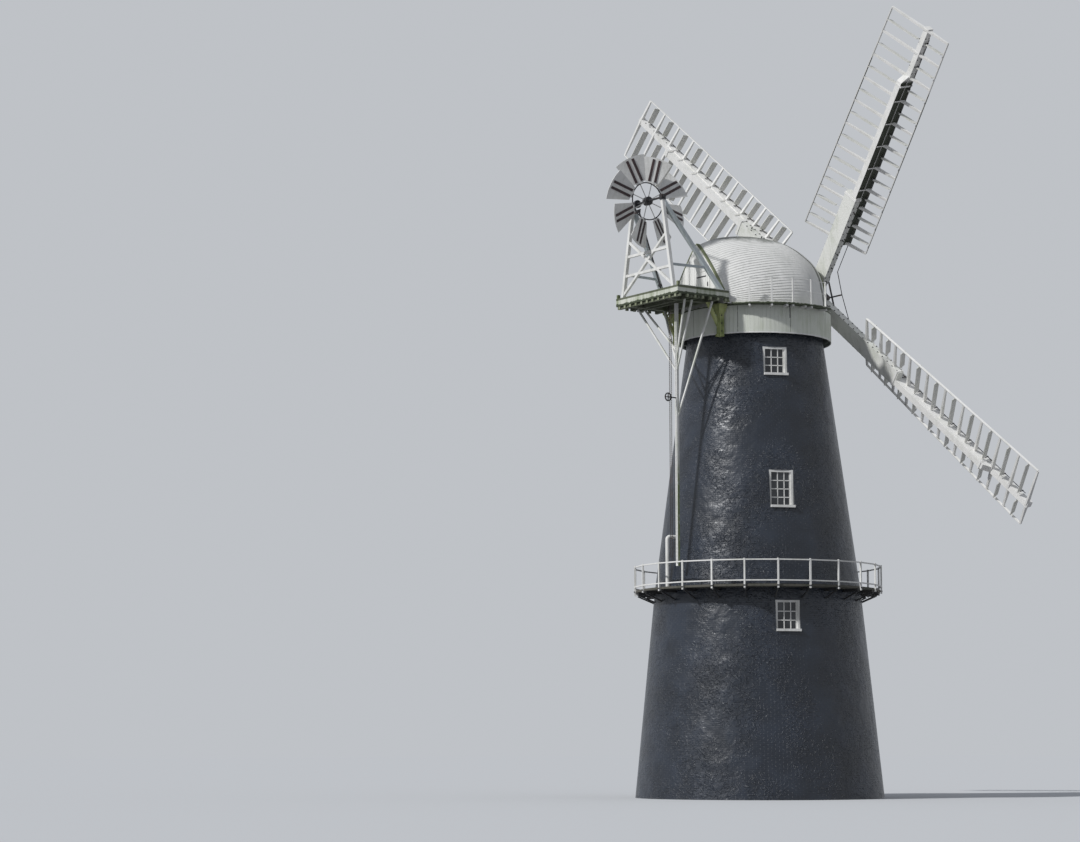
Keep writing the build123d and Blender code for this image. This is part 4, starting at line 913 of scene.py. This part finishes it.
front = [surface(front_face(CAP_FRONT_Y), closed=True)]
walled(piece("cap_front", front, PAINT_UPRIGHT, "cap"), FRONT_THICKNESS)

# %% Edge strips of the cap
EDGE_WIDTH = 0.11
EDGE_THICKNESS = 0.06
REAR_EDGE_Y = 2.765
edge_turns = np.linspace(0, np.pi / 2, 40)


def edge_strip(y):
    """A strip over the arch at a place along Y, standing out from the boards."""
    low = over_the_top(arch_points(y, edge_turns))[:, 0]
    high = over_the_top(arch_points(y, edge_turns, 1.0))[:, 0]
    keep = np.concatenate([[True], np.linalg.norm(np.diff(low, axis=0), axis=1) > 1e-4])
    return band(low[keep], Y_AXIS, unit(high - low)[keep], EDGE_WIDTH, EDGE_THICKNESS)


# The edge strips are dark with moss; at the front they are also painted shade of the gap behind the stocks.
piece("cap_front_edge", [edge_strip(CAP_FRONT_Y + 0.02)], MOSS_AND_SHADE_WOOD, "cap")
piece("cap_rear_edge", [edge_strip(REAR_EDGE_Y)], MOSS_AND_SHADE_WOOD, "cap")

# %% [markdown]
# ## The gable and the petticoat
# The gable behind the fan stage is closed with upright boards cut to the arch. The petticoat hangs round
# the top of the wall: over a hundred upright boards with open seams, each a little higher or lower than
# the next.

# %% Gable boards
GABLE_BOARD = 0.15
DOOR_LEFT = -0.80
DOOR_RIGHT = 0.04
DOOR_TOP = 19.89
GABLE_BOARD_FACES = (GABLE_FACE_Y - 0.004, GABLE_FACE_Y + 0.018)


def gable_boards():
    """Boards from the deck to the arch: the arch's height at a board's edge comes from the outline by
    reading z as a function of x."""
    outline = arch_points(2.75, np.linspace(0, np.pi / 2, 400))[:, 0]
    edges_x = np.arange(-12, 13) * GABLE_BOARD
    tops = np.interp(np.abs(edges_x), outline[::-1, 0], outline[::-1, 2]) - 0.01
    left, right = edges_x[:-1] + BOARD_GAP / 2, edges_x[1:] - BOARD_GAP / 2
    in_door = (left > DOOR_LEFT - 0.1) & (right < DOOR_RIGHT + 0.1)
    low = np.where(in_door, DOOR_TOP, FAN_DECK_Z)
    top_left, top_right = tops[:-1], tops[1:]
    keep = np.minimum(top_left, top_right) > low + 0.05
    corners = [columns(x, y, z) for x, top in ((left, top_left), (right, top_right))
               for y in GABLE_BOARD_FACES for z in (low, top)]
    return slabs(np.stack(corners, axis=1)[keep])


piece("gable_boards", [gable_boards()], PAINT_UPRIGHT, "cap")

# %% Petticoat boards
PETTICOAT_BOARDS = 118
PETTICOAT_RADIUS = 2.93
PETTICOAT_LOW = 17.36
PETTICOAT_HIGH = 18.43
SKIRT_THICKNESS = 0.034
SKIRT_SEAM = 0.003
LOW_SPREAD = 0.02
RADIUS_SPREAD = 0.005
OPEN_SEAM_EVERY = 13
OPEN_SEAM_FIRST = 3
OPEN_SEAM_TURN = 0.35
HOOP_RADIUS = 2.905
HOOP_LEVELS = (17.56, 18.22)
HOOP_SECTION = (0.09, 0.03)
RIM_RADIUS = 2.936
RIM_Z = 17.392
RIM_SECTION = (0.05, 0.013)
chance = np.random.default_rng(7)

board_turns = (np.arange(PETTICOAT_BOARDS) + 0.5) * 360 / PETTICOAT_BOARDS
lows = PETTICOAT_LOW + chance.uniform(0.0, LOW_SPREAD, PETTICOAT_BOARDS)
radii = PETTICOAT_RADIUS - chance.uniform(0.0, RADIUS_SPREAD, PETTICOAT_BOARDS)
open_seams = np.arange(PETTICOAT_BOARDS) % OPEN_SEAM_EVERY == OPEN_SEAM_FIRST
board_turns = board_turns + np.where(open_seams, OPEN_SEAM_TURN, 0.0)
skirt_width = 2 * math.pi * PETTICOAT_RADIUS / PETTICOAT_BOARDS - SKIRT_SEAM
skirt_sizes = columns(PETTICOAT_HIGH - lows, skirt_width, SKIRT_THICKNESS)
skirt_centres = at_bearing(radii, board_turns, (PETTICOAT_HIGH + lows) / 2)
skirt_sideways = at_bearing(1.0, board_turns + 90, 0.0)
skirt = timbers(skirt_centres, UP, skirt_sideways, skirt_sizes)
turns = np.linspace(0, 360, 97)
hoops = [band(at_bearing(HOOP_RADIUS, turns, z), UP, -at_bearing(1.0, turns, 0.0), *HOOP_SECTION)
         for z in HOOP_LEVELS]
piece("petticoat_boards", [skirt, *hoops], PETTICOAT_PAINT, "cap", replaces=("petticoat",))

rim_turns = np.linspace(0, 360, 145)
rim = band(at_bearing(RIM_RADIUS, rim_turns, RIM_Z), UP, at_bearing(1.0, rim_turns, 0.0), *RIM_SECTION)
piece("petticoat_rim", [rim], PAINT, "cap")

# %% Gallery joists and hanging iron
JOIST_Z = 18.39
JOIST_ENDS = (2.94, 3.27)
HOOK_PLACE = (3.20, 165.3, 18.43)
HOOK_LENGTH = 0.52
HOOK_RADIUS = 0.022
JOIST_SECTION = (0.075, 0.07)

# Most joists are 15 degrees apart, with one more on each side of the hook
near_turns = np.append(137.4 + 15.0 * np.arange(5), (163.0, 177.0))
gallery_turns = np.append(near_turns, 180.0 - near_turns)
joist_inner, joist_outer = (at_bearing(radius, gallery_turns, JOIST_Z) for radius in JOIST_ENDS)
joists = timbers_between(joist_inner, joist_outer, UP, *JOIST_SECTION)
piece("gallery_joists", [joists], PAINT, "cap")
hook = at_bearing(*HOOK_PLACE)
piece("gallery_hook", [rods(hook - UP * HOOK_LENGTH, hook, HOOK_RADIUS)], IRON, "cap")

# %% [markdown]
# ## The fan
# Eight flat blades spread from the ring. Their outer edges follow a circle round the axle, and each one
# is stiffened by a pair of dark battens. The bevel gear beside the hub drives the raked shaft.

# %% Fan blades and battens
FAN_BLADES = 8
FAN_BLADE_TURN = 29.5
BLADE_PITCH = -24.0
BLADE_ROOT = 0.76
BLADE_TIP = 1.78
BLADE_ROOT_HALF = 0.26
BLADE_TIP_HALF = 0.60
BLADE_THICKNESS = 0.022
BLADE_FOOT = (0.0, 0.0, 0.86)
BLADE_FOOT_SIZES = (0.30, 0.30, 0.03)
BATTEN_LIFT = 0.022
BATTEN_HALF_PITCH = 0.1175
BATTEN_MIDDLE = 1.25
BATTEN_SIZES = (0.90, 0.098, 0.024)


def fan_blade():
    """A board on a grid: across runs from -1 to 1 times the half width, and out runs from the root line
    to the circle of the tip, where the height is the root of the tip radius squared less the width
    squared."""
    across = np.linspace(-1, 1, 9)[None, :]
    out = np.linspace(0, 1, 8)[:, None]
    half = BLADE_ROOT_HALF + out * (BLADE_TIP_HALF - BLADE_ROOT_HALF)
    y = across * half
    edge = np.sqrt(BLADE_TIP ** 2 - (across * BLADE_TIP_HALF) ** 2)
    z = BLADE_ROOT + out * (edge - BLADE_ROOT)
    front = columns(BLADE_THICKNESS / 2, y, z)
    back = front * (-1, 1, 1)
    rim = [front[0], front[1:, -1], front[-1, -2::-1], front[-2:0:-1, 0]]
    loop = np.concatenate(rim)
    walls = np.stack([loop, loop * (-1, 1, 1)], axis=0)
    return surface(front[:, ::-1]), surface(back), surface(walls, closed=True)


def fan_battens():
    """Two battens on each face of a blade, from near the root to near the tip."""
    centres = np.array([(side * BATTEN_LIFT, across * BATTEN_HALF_PITCH, BATTEN_MIDDLE)
                        for side in (-1, 1) for across in (-1, 1)])
    return timbers(centres, UP, Y_AXIS, BATTEN_SIZES)


blades, battens = [], []
for index in range(FAN_BLADES):
    place = (shifted(0, FAN_Y, FAN_Z) @ turned("X", -(FAN_BLADE_TURN + index * 360 / FAN_BLADES))
             @ turned("Z", BLADE_PITCH))
    blades += [moved(part, place) for part in fan_blade()]
    blades.append(moved(timbers(BLADE_FOOT, UP, Y_AXIS, BLADE_FOOT_SIZES), place))
    battens.append(moved(fan_battens(), place))
piece("fan_boards", blades, PAINT, "fan", replaces=("fan_blades",))
piece("fan_battens", battens, BATTEN_PAINT, "fan")

# %% Fan gear teeth and drive gears
TEETH = 24
TOOTH_X = 0.607
TOOTH_RADIUS = 0.128
tooth_turns = 2 * np.pi * np.arange(TEETH) / TEETH
tooth_out = columns(0.0, np.cos(tooth_turns), np.sin(tooth_turns))
tooth_places = np.array((TOOTH_X, FAN_Y, FAN_Z)) + TOOTH_RADIUS * tooth_out
piece("fan_gear_teeth", [timbers(tooth_places, tooth_out, X_AXIS, (0.045, 0.03, 0.018))],
      IRON, "fan")

DRIVE_X = 0.56
DRIVE_TOP = np.array((DRIVE_X, FAN_Y, 22.14))
DRIVE_FOOT = np.array((DRIVE_X, 4.0, FAN_DECK_Z))
drive_way = unit(DRIVE_TOP - DRIVE_FOOT)
# Start, way, first and last distance, radius and sides of each wheel or collar
DRIVE_WHEELS = (
    (DRIVE_TOP, drive_way, -0.02, 0.04, 0.085, 18), (DRIVE_TOP, drive_way, -0.09, -0.02, 0.055, 12),
    (DRIVE_FOOT, UP, 0.24, 0.30, 0.17, 24), (DRIVE_FOOT, drive_way, 0.42, 0.52, 0.08, 16),
    (DRIVE_FOOT, drive_way, 1.7, 1.78, 0.05, 12))
drive_gears = [rods(start + way * low, start + way * high, radius, sides)
               for start, way, low, high, radius, sides in DRIVE_WHEELS]
piece("drive_gears", drive_gears, IRON, "cap")

# %% [markdown]
# ## The fan stage
# Boards cover the deck from side to side, with their ends showing along the edge. A level tie joins the
# posts on each side, and each tail post has three bolts and thick mossy blocks under the stage.

# %% Fan stage boards and fittings
DECK_HALF = 1.93
DECK_FRONT = 2.86
DECK_REAR = 5.17
DECK_BOARD = 0.140
JOIST_PITCH = 0.36
REAR_PITCH = 0.35
SEAM_Z = 18.835
CORNER_Z = 18.985
JOIST_END_Z = 18.55
REAR_END_Z = 18.545
deck_y = np.arange(DECK_FRONT, DECK_REAR, DECK_BOARD + BOARD_GAP)
deck_places = columns(0.0, deck_y, FAN_DECK_Z + 0.008)
deck_boards = timbers(deck_places, X_AXIS, Y_AXIS, (2 * DECK_HALF, DECK_BOARD, 0.022))
piece("fan_deck_boards", [deck_boards], DECK_PAINT, "cap")

end_y = np.arange(2.95, DECK_REAR, JOIST_PITCH)
end_places = columns(BOTH_SIDES[:, None] * (DECK_HALF - 0.05), end_y, JOIST_END_Z).reshape(-1, 3)
joist_ends = timbers(end_places, X_AXIS, Y_AXIS, (0.10, 0.09, 0.10))
end_x = np.arange(-1.75, 1.8, REAR_PITCH)
rear_ends = timbers(columns(end_x, DECK_REAR, REAR_END_Z), Y_AXIS, X_AXIS, (0.10, 0.11, 0.11))
piece("fan_joist_ends", [joist_ends, rear_ends], END_PAINT, "cap")

# A dark strip is painted shade in the gap where the deck boards meet the fascia along each side
seams = timbers(columns(BOTH_SIDES * (DECK_HALF + 0.001), 4.0, SEAM_Z), Y_AXIS, UP, (2.3, 0.022, 0.01))
corners = columns(BOTH_SIDES * (DECK_HALF - 0.06), DECK_REAR - 0.01, CORNER_Z)
corner_posts = timbers(corners, UP, X_AXIS, (0.15, 0.10, 0.10))
piece("fan_deck_shade_strips_and_posts", [seams, corner_posts], MOSS_AND_SHADE_WOOD, "cap")

TIE_Z = 19.78
TIE_ENDS = ((1.40, FAN_Y), (1.52, 3.55))
tie_starts, tie_ends = (columns(BOTH_SIDES * x, y, TIE_Z) for x, y in TIE_ENDS)
ties = timbers_between(tie_starts, tie_ends, UP, 0.09, 0.07)
piece("fan_side_ties", [ties], BRACE_PAINT, "cap")

TAIL_POST_X = 1.35
TAIL_POST_Y = 2.792
# Height of the middle, then height, width and depth of each block on a tail post
HEAD_BLOCKS = ((18.40, 0.16, 0.42, 0.38), (18.26, 0.12, 0.34, 0.31), (18.16, 0.08, 0.27, 0.26),
               (17.30, 0.10, 0.24, 0.23))
BOLT_LEVELS = np.array((17.45, 17.75, 18.05))
heads, head_bolts = [], []
for side in (-1, 1):
    x = side * TAIL_POST_X
    heads += [timbers((x, TAIL_POST_Y, z), UP, X_AXIS, sizes) for z, *sizes in HEAD_BLOCKS]
    bolt_places = columns(x + side * 0.10, TAIL_POST_Y, BOLT_LEVELS)
    head_bolts.append(rods(bolt_places, bolt_places + (side * 0.03, 0, 0), 0.026, 6))
piece("tail_post_heads", heads, POST_PAINT, "cap")
piece("tail_post_bolts", head_bolts, RUSTY_IRON, "cap")

# %% [markdown]
# ## The hand chain
# The miller can turn the cap by hand with an endless chain. It is made of oval links, each turned a
# quarter against the next, laid along one closed path: two straight falls joined by half circles.

# %% Chain links
POLE_BEARING = 96.8
CHAIN_RADIUS = 4.562
CHAIN_LOW = 8.911
CHAIN_HIGH = 18.489
CHAIN_HALF_SPREAD = 0.045
LINK_PITCH = 0.074
LINK_HALF_LENGTH = 0.046
LINK_HALF_WIDTH = 0.021
WIRE_RADIUS = 0.0078
OVAL_STEPS = 8
WIRE_STEPS = 4
CHAIN_STRAIGHT = CHAIN_HIGH - CHAIN_LOW - 2 * CHAIN_HALF_SPREAD


def chain_path(count):
    """Places and directions at equal steps round a loop: up, over a half circle, down, and back under."""
    half = CHAIN_STRAIGHT + math.pi * CHAIN_HALF_SPREAD
    step = np.arange(count) * 2 * half / count
    corners = (0.0, CHAIN_STRAIGHT, half, half + CHAIN_STRAIGHT, 2 * half)
    turn = np.interp(step, corners, (0.0, 0.0, np.pi, np.pi, 2 * np.pi))
    height = np.interp(step, corners, (0.0, CHAIN_STRAIGHT, CHAIN_STRAIGHT, 0.0, 0.0))
    across = CHAIN_HALF_SPREAD * np.cos(turn)
    upward = height + CHAIN_HALF_SPREAD * np.sin(turn)
    return across, upward, np.stack([-np.sin(turn), np.cos(turn)], axis=1)


def chain_links():
    """Each link is an oval tube: eight places round the oval with four points round the wire."""
    count = 2 * int((CHAIN_STRAIGHT + math.pi * CHAIN_HALF_SPREAD) / LINK_PITCH)
    across, upward, direction = chain_path(count)
    outward = at_bearing(1.0, POLE_BEARING, 0.0)
    sideways = np.cross(outward, UP)
    base = outward * CHAIN_RADIUS + UP * (CHAIN_LOW + CHAIN_HALF_SPREAD)
    centres = base + across[:, None] * sideways + upward[:, None] * UP
    along = direction[:, :1] * sideways + direction[:, 1:] * UP
    flat = np.where((np.arange(count) % 2 == 0)[:, None], outward, np.cross(along, outward))
    normal = np.cross(along, flat)
    oval = (2 * np.pi * np.arange(OVAL_STEPS) / OVAL_STEPS)[None, :, None]
    wire = (2 * np.pi * np.arange(WIRE_STEPS) / WIRE_STEPS)[None, None, :, None]
    long_way, short_way = np.cos(oval) * along[:, None], np.sin(oval) * flat[:, None]
    spine = LINK_HALF_LENGTH * long_way + LINK_HALF_WIDTH * short_way
    outer = unit(LINK_HALF_WIDTH * long_way + LINK_HALF_LENGTH * short_way)
    ring = np.cos(wire) * outer[:, :, None] + np.sin(wire) * normal[:, None, None]
    points = (centres[:, None, None] + spine[:, :, None] + WIRE_RADIUS * ring).reshape(-1, 3)
    around, tube = np.meshgrid(np.arange(OVAL_STEPS), np.arange(WIRE_STEPS), indexing="ij")
    here, after = around * WIRE_STEPS, (around + 1) % OVAL_STEPS * WIRE_STEPS
    next_tube = (tube + 1) % WIRE_STEPS
    faces = np.stack([here + tube, after + tube, after + next_tube, here + next_tube], axis=-1).reshape(-1, 4)
    start = OVAL_STEPS * WIRE_STEPS * np.arange(count)[:, None, None]
    return points, (faces[None] + start).reshape(-1, 4)


piece("chain_links", [chain_links()], RUSTY_IRON, "cap", replaces=("hand_chain",))

# %% [markdown]
# ## The sails
# All four sails are alike, so their ironwork is made once in the sail's own frame, where Z runs out along
# the sail, X to its leading side and Y forward, and is then turned to its place four times. Painted hoops
# and rows of bolts hold whip, stiffener and stock together. Two long shutter bars run down the front, with
# a crank at every shutter.

# %% The sail's own frame
SAIL_REST_ANGLE = 44.7
STOCK_WIDTH = 0.62
STOCK_DEPTH = 0.28
STOCK_REACH = 5.15
STOCK_STEP = 0.145
HEEL = 3.0
WHIP_TIP = 12.65
WHIP_DEPTHS = (0.43, 0.25)
INNER_PITCH = 0.846
OUTER_PITCH = 1.004
BAR_RADII = HEEL + np.append(INNER_PITCH * np.arange(4), INNER_PITCH * 3 + OUTER_PITCH * np.arange(1, 8))
SHUTTER_BAR_X = 0.345
HALF_WIDTH, HALF_DEPTH = STOCK_WIDTH / 2, STOCK_DEPTH / 2


def stock_step(index):
    """One stock lies behind the other, so the sails take turns."""
    return -STOCK_STEP if index % 2 == 0 else STOCK_STEP


def sail_place(index):
    """The hub's place, tilted with the shaft, turned a quarter for each sail, and stepped with its stock."""
    return (shifted(*HUB) @ turned("X", -SHAFT_TILT) @ turned("Y", -(SAIL_REST_ANGLE + 90 * index))
            @ turned("Z", 180) @ shifted(0, stock_step(index), 0))


def whip_depth(radius):
    """Depth of the whip, falling evenly from the heel to the tip."""
    return np.interp(radius, (HEEL, WHIP_TIP), WHIP_DEPTHS)


print("bars at", np.round(BAR_RADII, 2))


# %% Straps, bolts, cranks and shutter bars
HOOP_PLATE = 0.02
STOCK_HOOP_RADIUS = 5.05
WHIP_HOOP_RADIUS = 10.2
NUT_PITCH = 0.30
NUT_INSET = 0.035
NUT_LENGTH = 0.022
NUT_RADIUS = 0.026
CRANK_LENGTH = 0.165
CRANK_SECTION = (0.035, 0.016)
BOLT_PLACES = np.arange(1.2, 5.0, 0.66)
BOLT_LENGTH = 0.085
BOLT_RADIUS = 0.024
STRAP_SIZES = (0.012, 0.045)
BAR_FACE_SHARE = 0.25
BAR_STAND_OFF = 0.16
SHUTTER_BAR_START = 1.6
SHUTTER_BAR_RADIUS = 0.014
PIN_RADIUS = 0.018
PIN_HALF = 0.025


def hoop(x_low, y_high, radius, width):
    """A square hoop from the stock's back and leading side: two plates on the faces, two on the sides."""
    x_mid, y_mid = (x_low + HALF_WIDTH) / 2, (y_high - HALF_DEPTH) / 2
    edge = HOOP_PLATE / 2
    faces = timbers([(x_mid, y, radius) for y in (-HALF_DEPTH - edge, y_high + edge)], UP, X_AXIS,
                    (width, HALF_WIDTH - x_low + 2 * HOOP_PLATE, HOOP_PLATE))
    sides = timbers([(x, y_mid, radius) for x in (x_low - edge, HALF_WIDTH + edge)], UP, X_AXIS,
                    (width, HOOP_PLATE, y_high + HALF_DEPTH))
    return [faces, sides]


def stock_hoops():
    """Painted hoops round the stock at its end and round the whip where the stiffener ends."""
    whip_face = HALF_DEPTH + whip_depth(WHIP_HOOP_RADIUS)
    return (hoop(-HALF_WIDTH, HALF_DEPTH, STOCK_HOOP_RADIUS, 0.09)
            + hoop(0.05, whip_face, WHIP_HOOP_RADIUS, 0.06))


def stock_bolts():
    """Rows of nuts along both edges of each side, and long bolt ends that stand out of the leading side."""
    nut_radii = np.arange(0.80, STOCK_REACH - 0.1, NUT_PITCH)
    whip_radii = np.arange(10.75, WHIP_TIP, NUT_PITCH)
    # Each row: across, forward, places along the sail, length outward and radius
    rows = [(side * HALF_WIDTH, y, nut_radii, side * NUT_LENGTH, NUT_RADIUS)
            for side in (-1, 1) for y in (-HALF_DEPTH + NUT_INSET, HALF_DEPTH - NUT_INSET)]
    rows += [(HALF_WIDTH, HALF_DEPTH + share * whip_depth(whip_radii), whip_radii, 0.02, 0.022)
             for share in (0.15, 0.85)]
    rows.append((HALF_WIDTH, 0.0, BOLT_PLACES, BOLT_LENGTH, BOLT_RADIUS))
    return [rods(columns(x, y, radii), columns(x + length, y, radii), radius, 6)
            for x, y, radii, length, radius in rows]


def bar_straps():
    """A pale strap over the dark side of stiffener and whip at each bar beyond the stock."""
    radii = BAR_RADII[(BAR_RADII > 5.3) & (BAR_RADII < 10.5)]
    depth = STOCK_DEPTH + whip_depth(radii)
    centres = columns(HALF_WIDTH + 0.006, depth / 2 - HALF_DEPTH, radii)
    return [timbers(centres, Y_AXIS, X_AXIS, columns(depth, *STRAP_SIZES))]


def shutter_gear():
    """One long bar on each side of the whip's front and a crank from it to every shutter's pin."""
    middles = (BAR_RADII[:-1] + BAR_RADII[1:]) / 2
    front = HALF_DEPTH + BAR_FACE_SHARE * whip_depth(middles)
    start_y, end_y = HALF_DEPTH + BAR_FACE_SHARE * np.array(WHIP_DEPTHS) + BAR_STAND_OFF
    parts = []
    for x in (0.0, SHUTTER_BAR_X):
        foot, head = columns(x, front, middles), columns(x, front + CRANK_LENGTH, middles)
        bar_ends = (x, start_y, SHUTTER_BAR_START), (x, end_y, middles[-1] + 0.15)
        parts += [rods(*bar_ends, SHUTTER_BAR_RADIUS, 6), timbers_between(foot, head, UP, *CRANK_SECTION),
                  rods(head - X_AXIS * PIN_HALF, head + X_AXIS * PIN_HALF, PIN_RADIUS, 6)]
    return parts


for name, make, material, slot in (("stock_hoops", stock_hoops, SAIL_PAINT, "white_metal"),
                                   ("stock_bolts", stock_bolts, IRON, "black_iron"),
                                   ("bar_straps", bar_straps, SAIL_PAINT, "white_metal"),
                                   ("shutter_bars", shutter_gear, IRON, "black_iron")):
    parts = [moved(part, sail_place(index)) for index in range(4) for part in make()]
    piece(name, parts, material, "sails")

# %% Rods from the spider to the shutter bars
SPIDER_FRONT = 0.96
SPIDER_ARM_END = 0.60 * math.sqrt(0.5)
SPIDER_ROD_RADIUS = 0.016
ROD_FOOT_Y = 0.41
ROD_FOOT_Z = 1.62
spider_rods = []
for index in range(4):
    heads = columns(BOTH_SIDES * SPIDER_ARM_END, SPIDER_FRONT - stock_step(index), SPIDER_ARM_END)
    feet = columns((0.0, SHUTTER_BAR_X), ROD_FOOT_Y, ROD_FOOT_Z)
    spider_rods.append(moved(rods(heads, feet, SPIDER_ROD_RADIUS, 6), sail_place(index)))
piece("spider_rods", spider_rods, IRON, "sails")
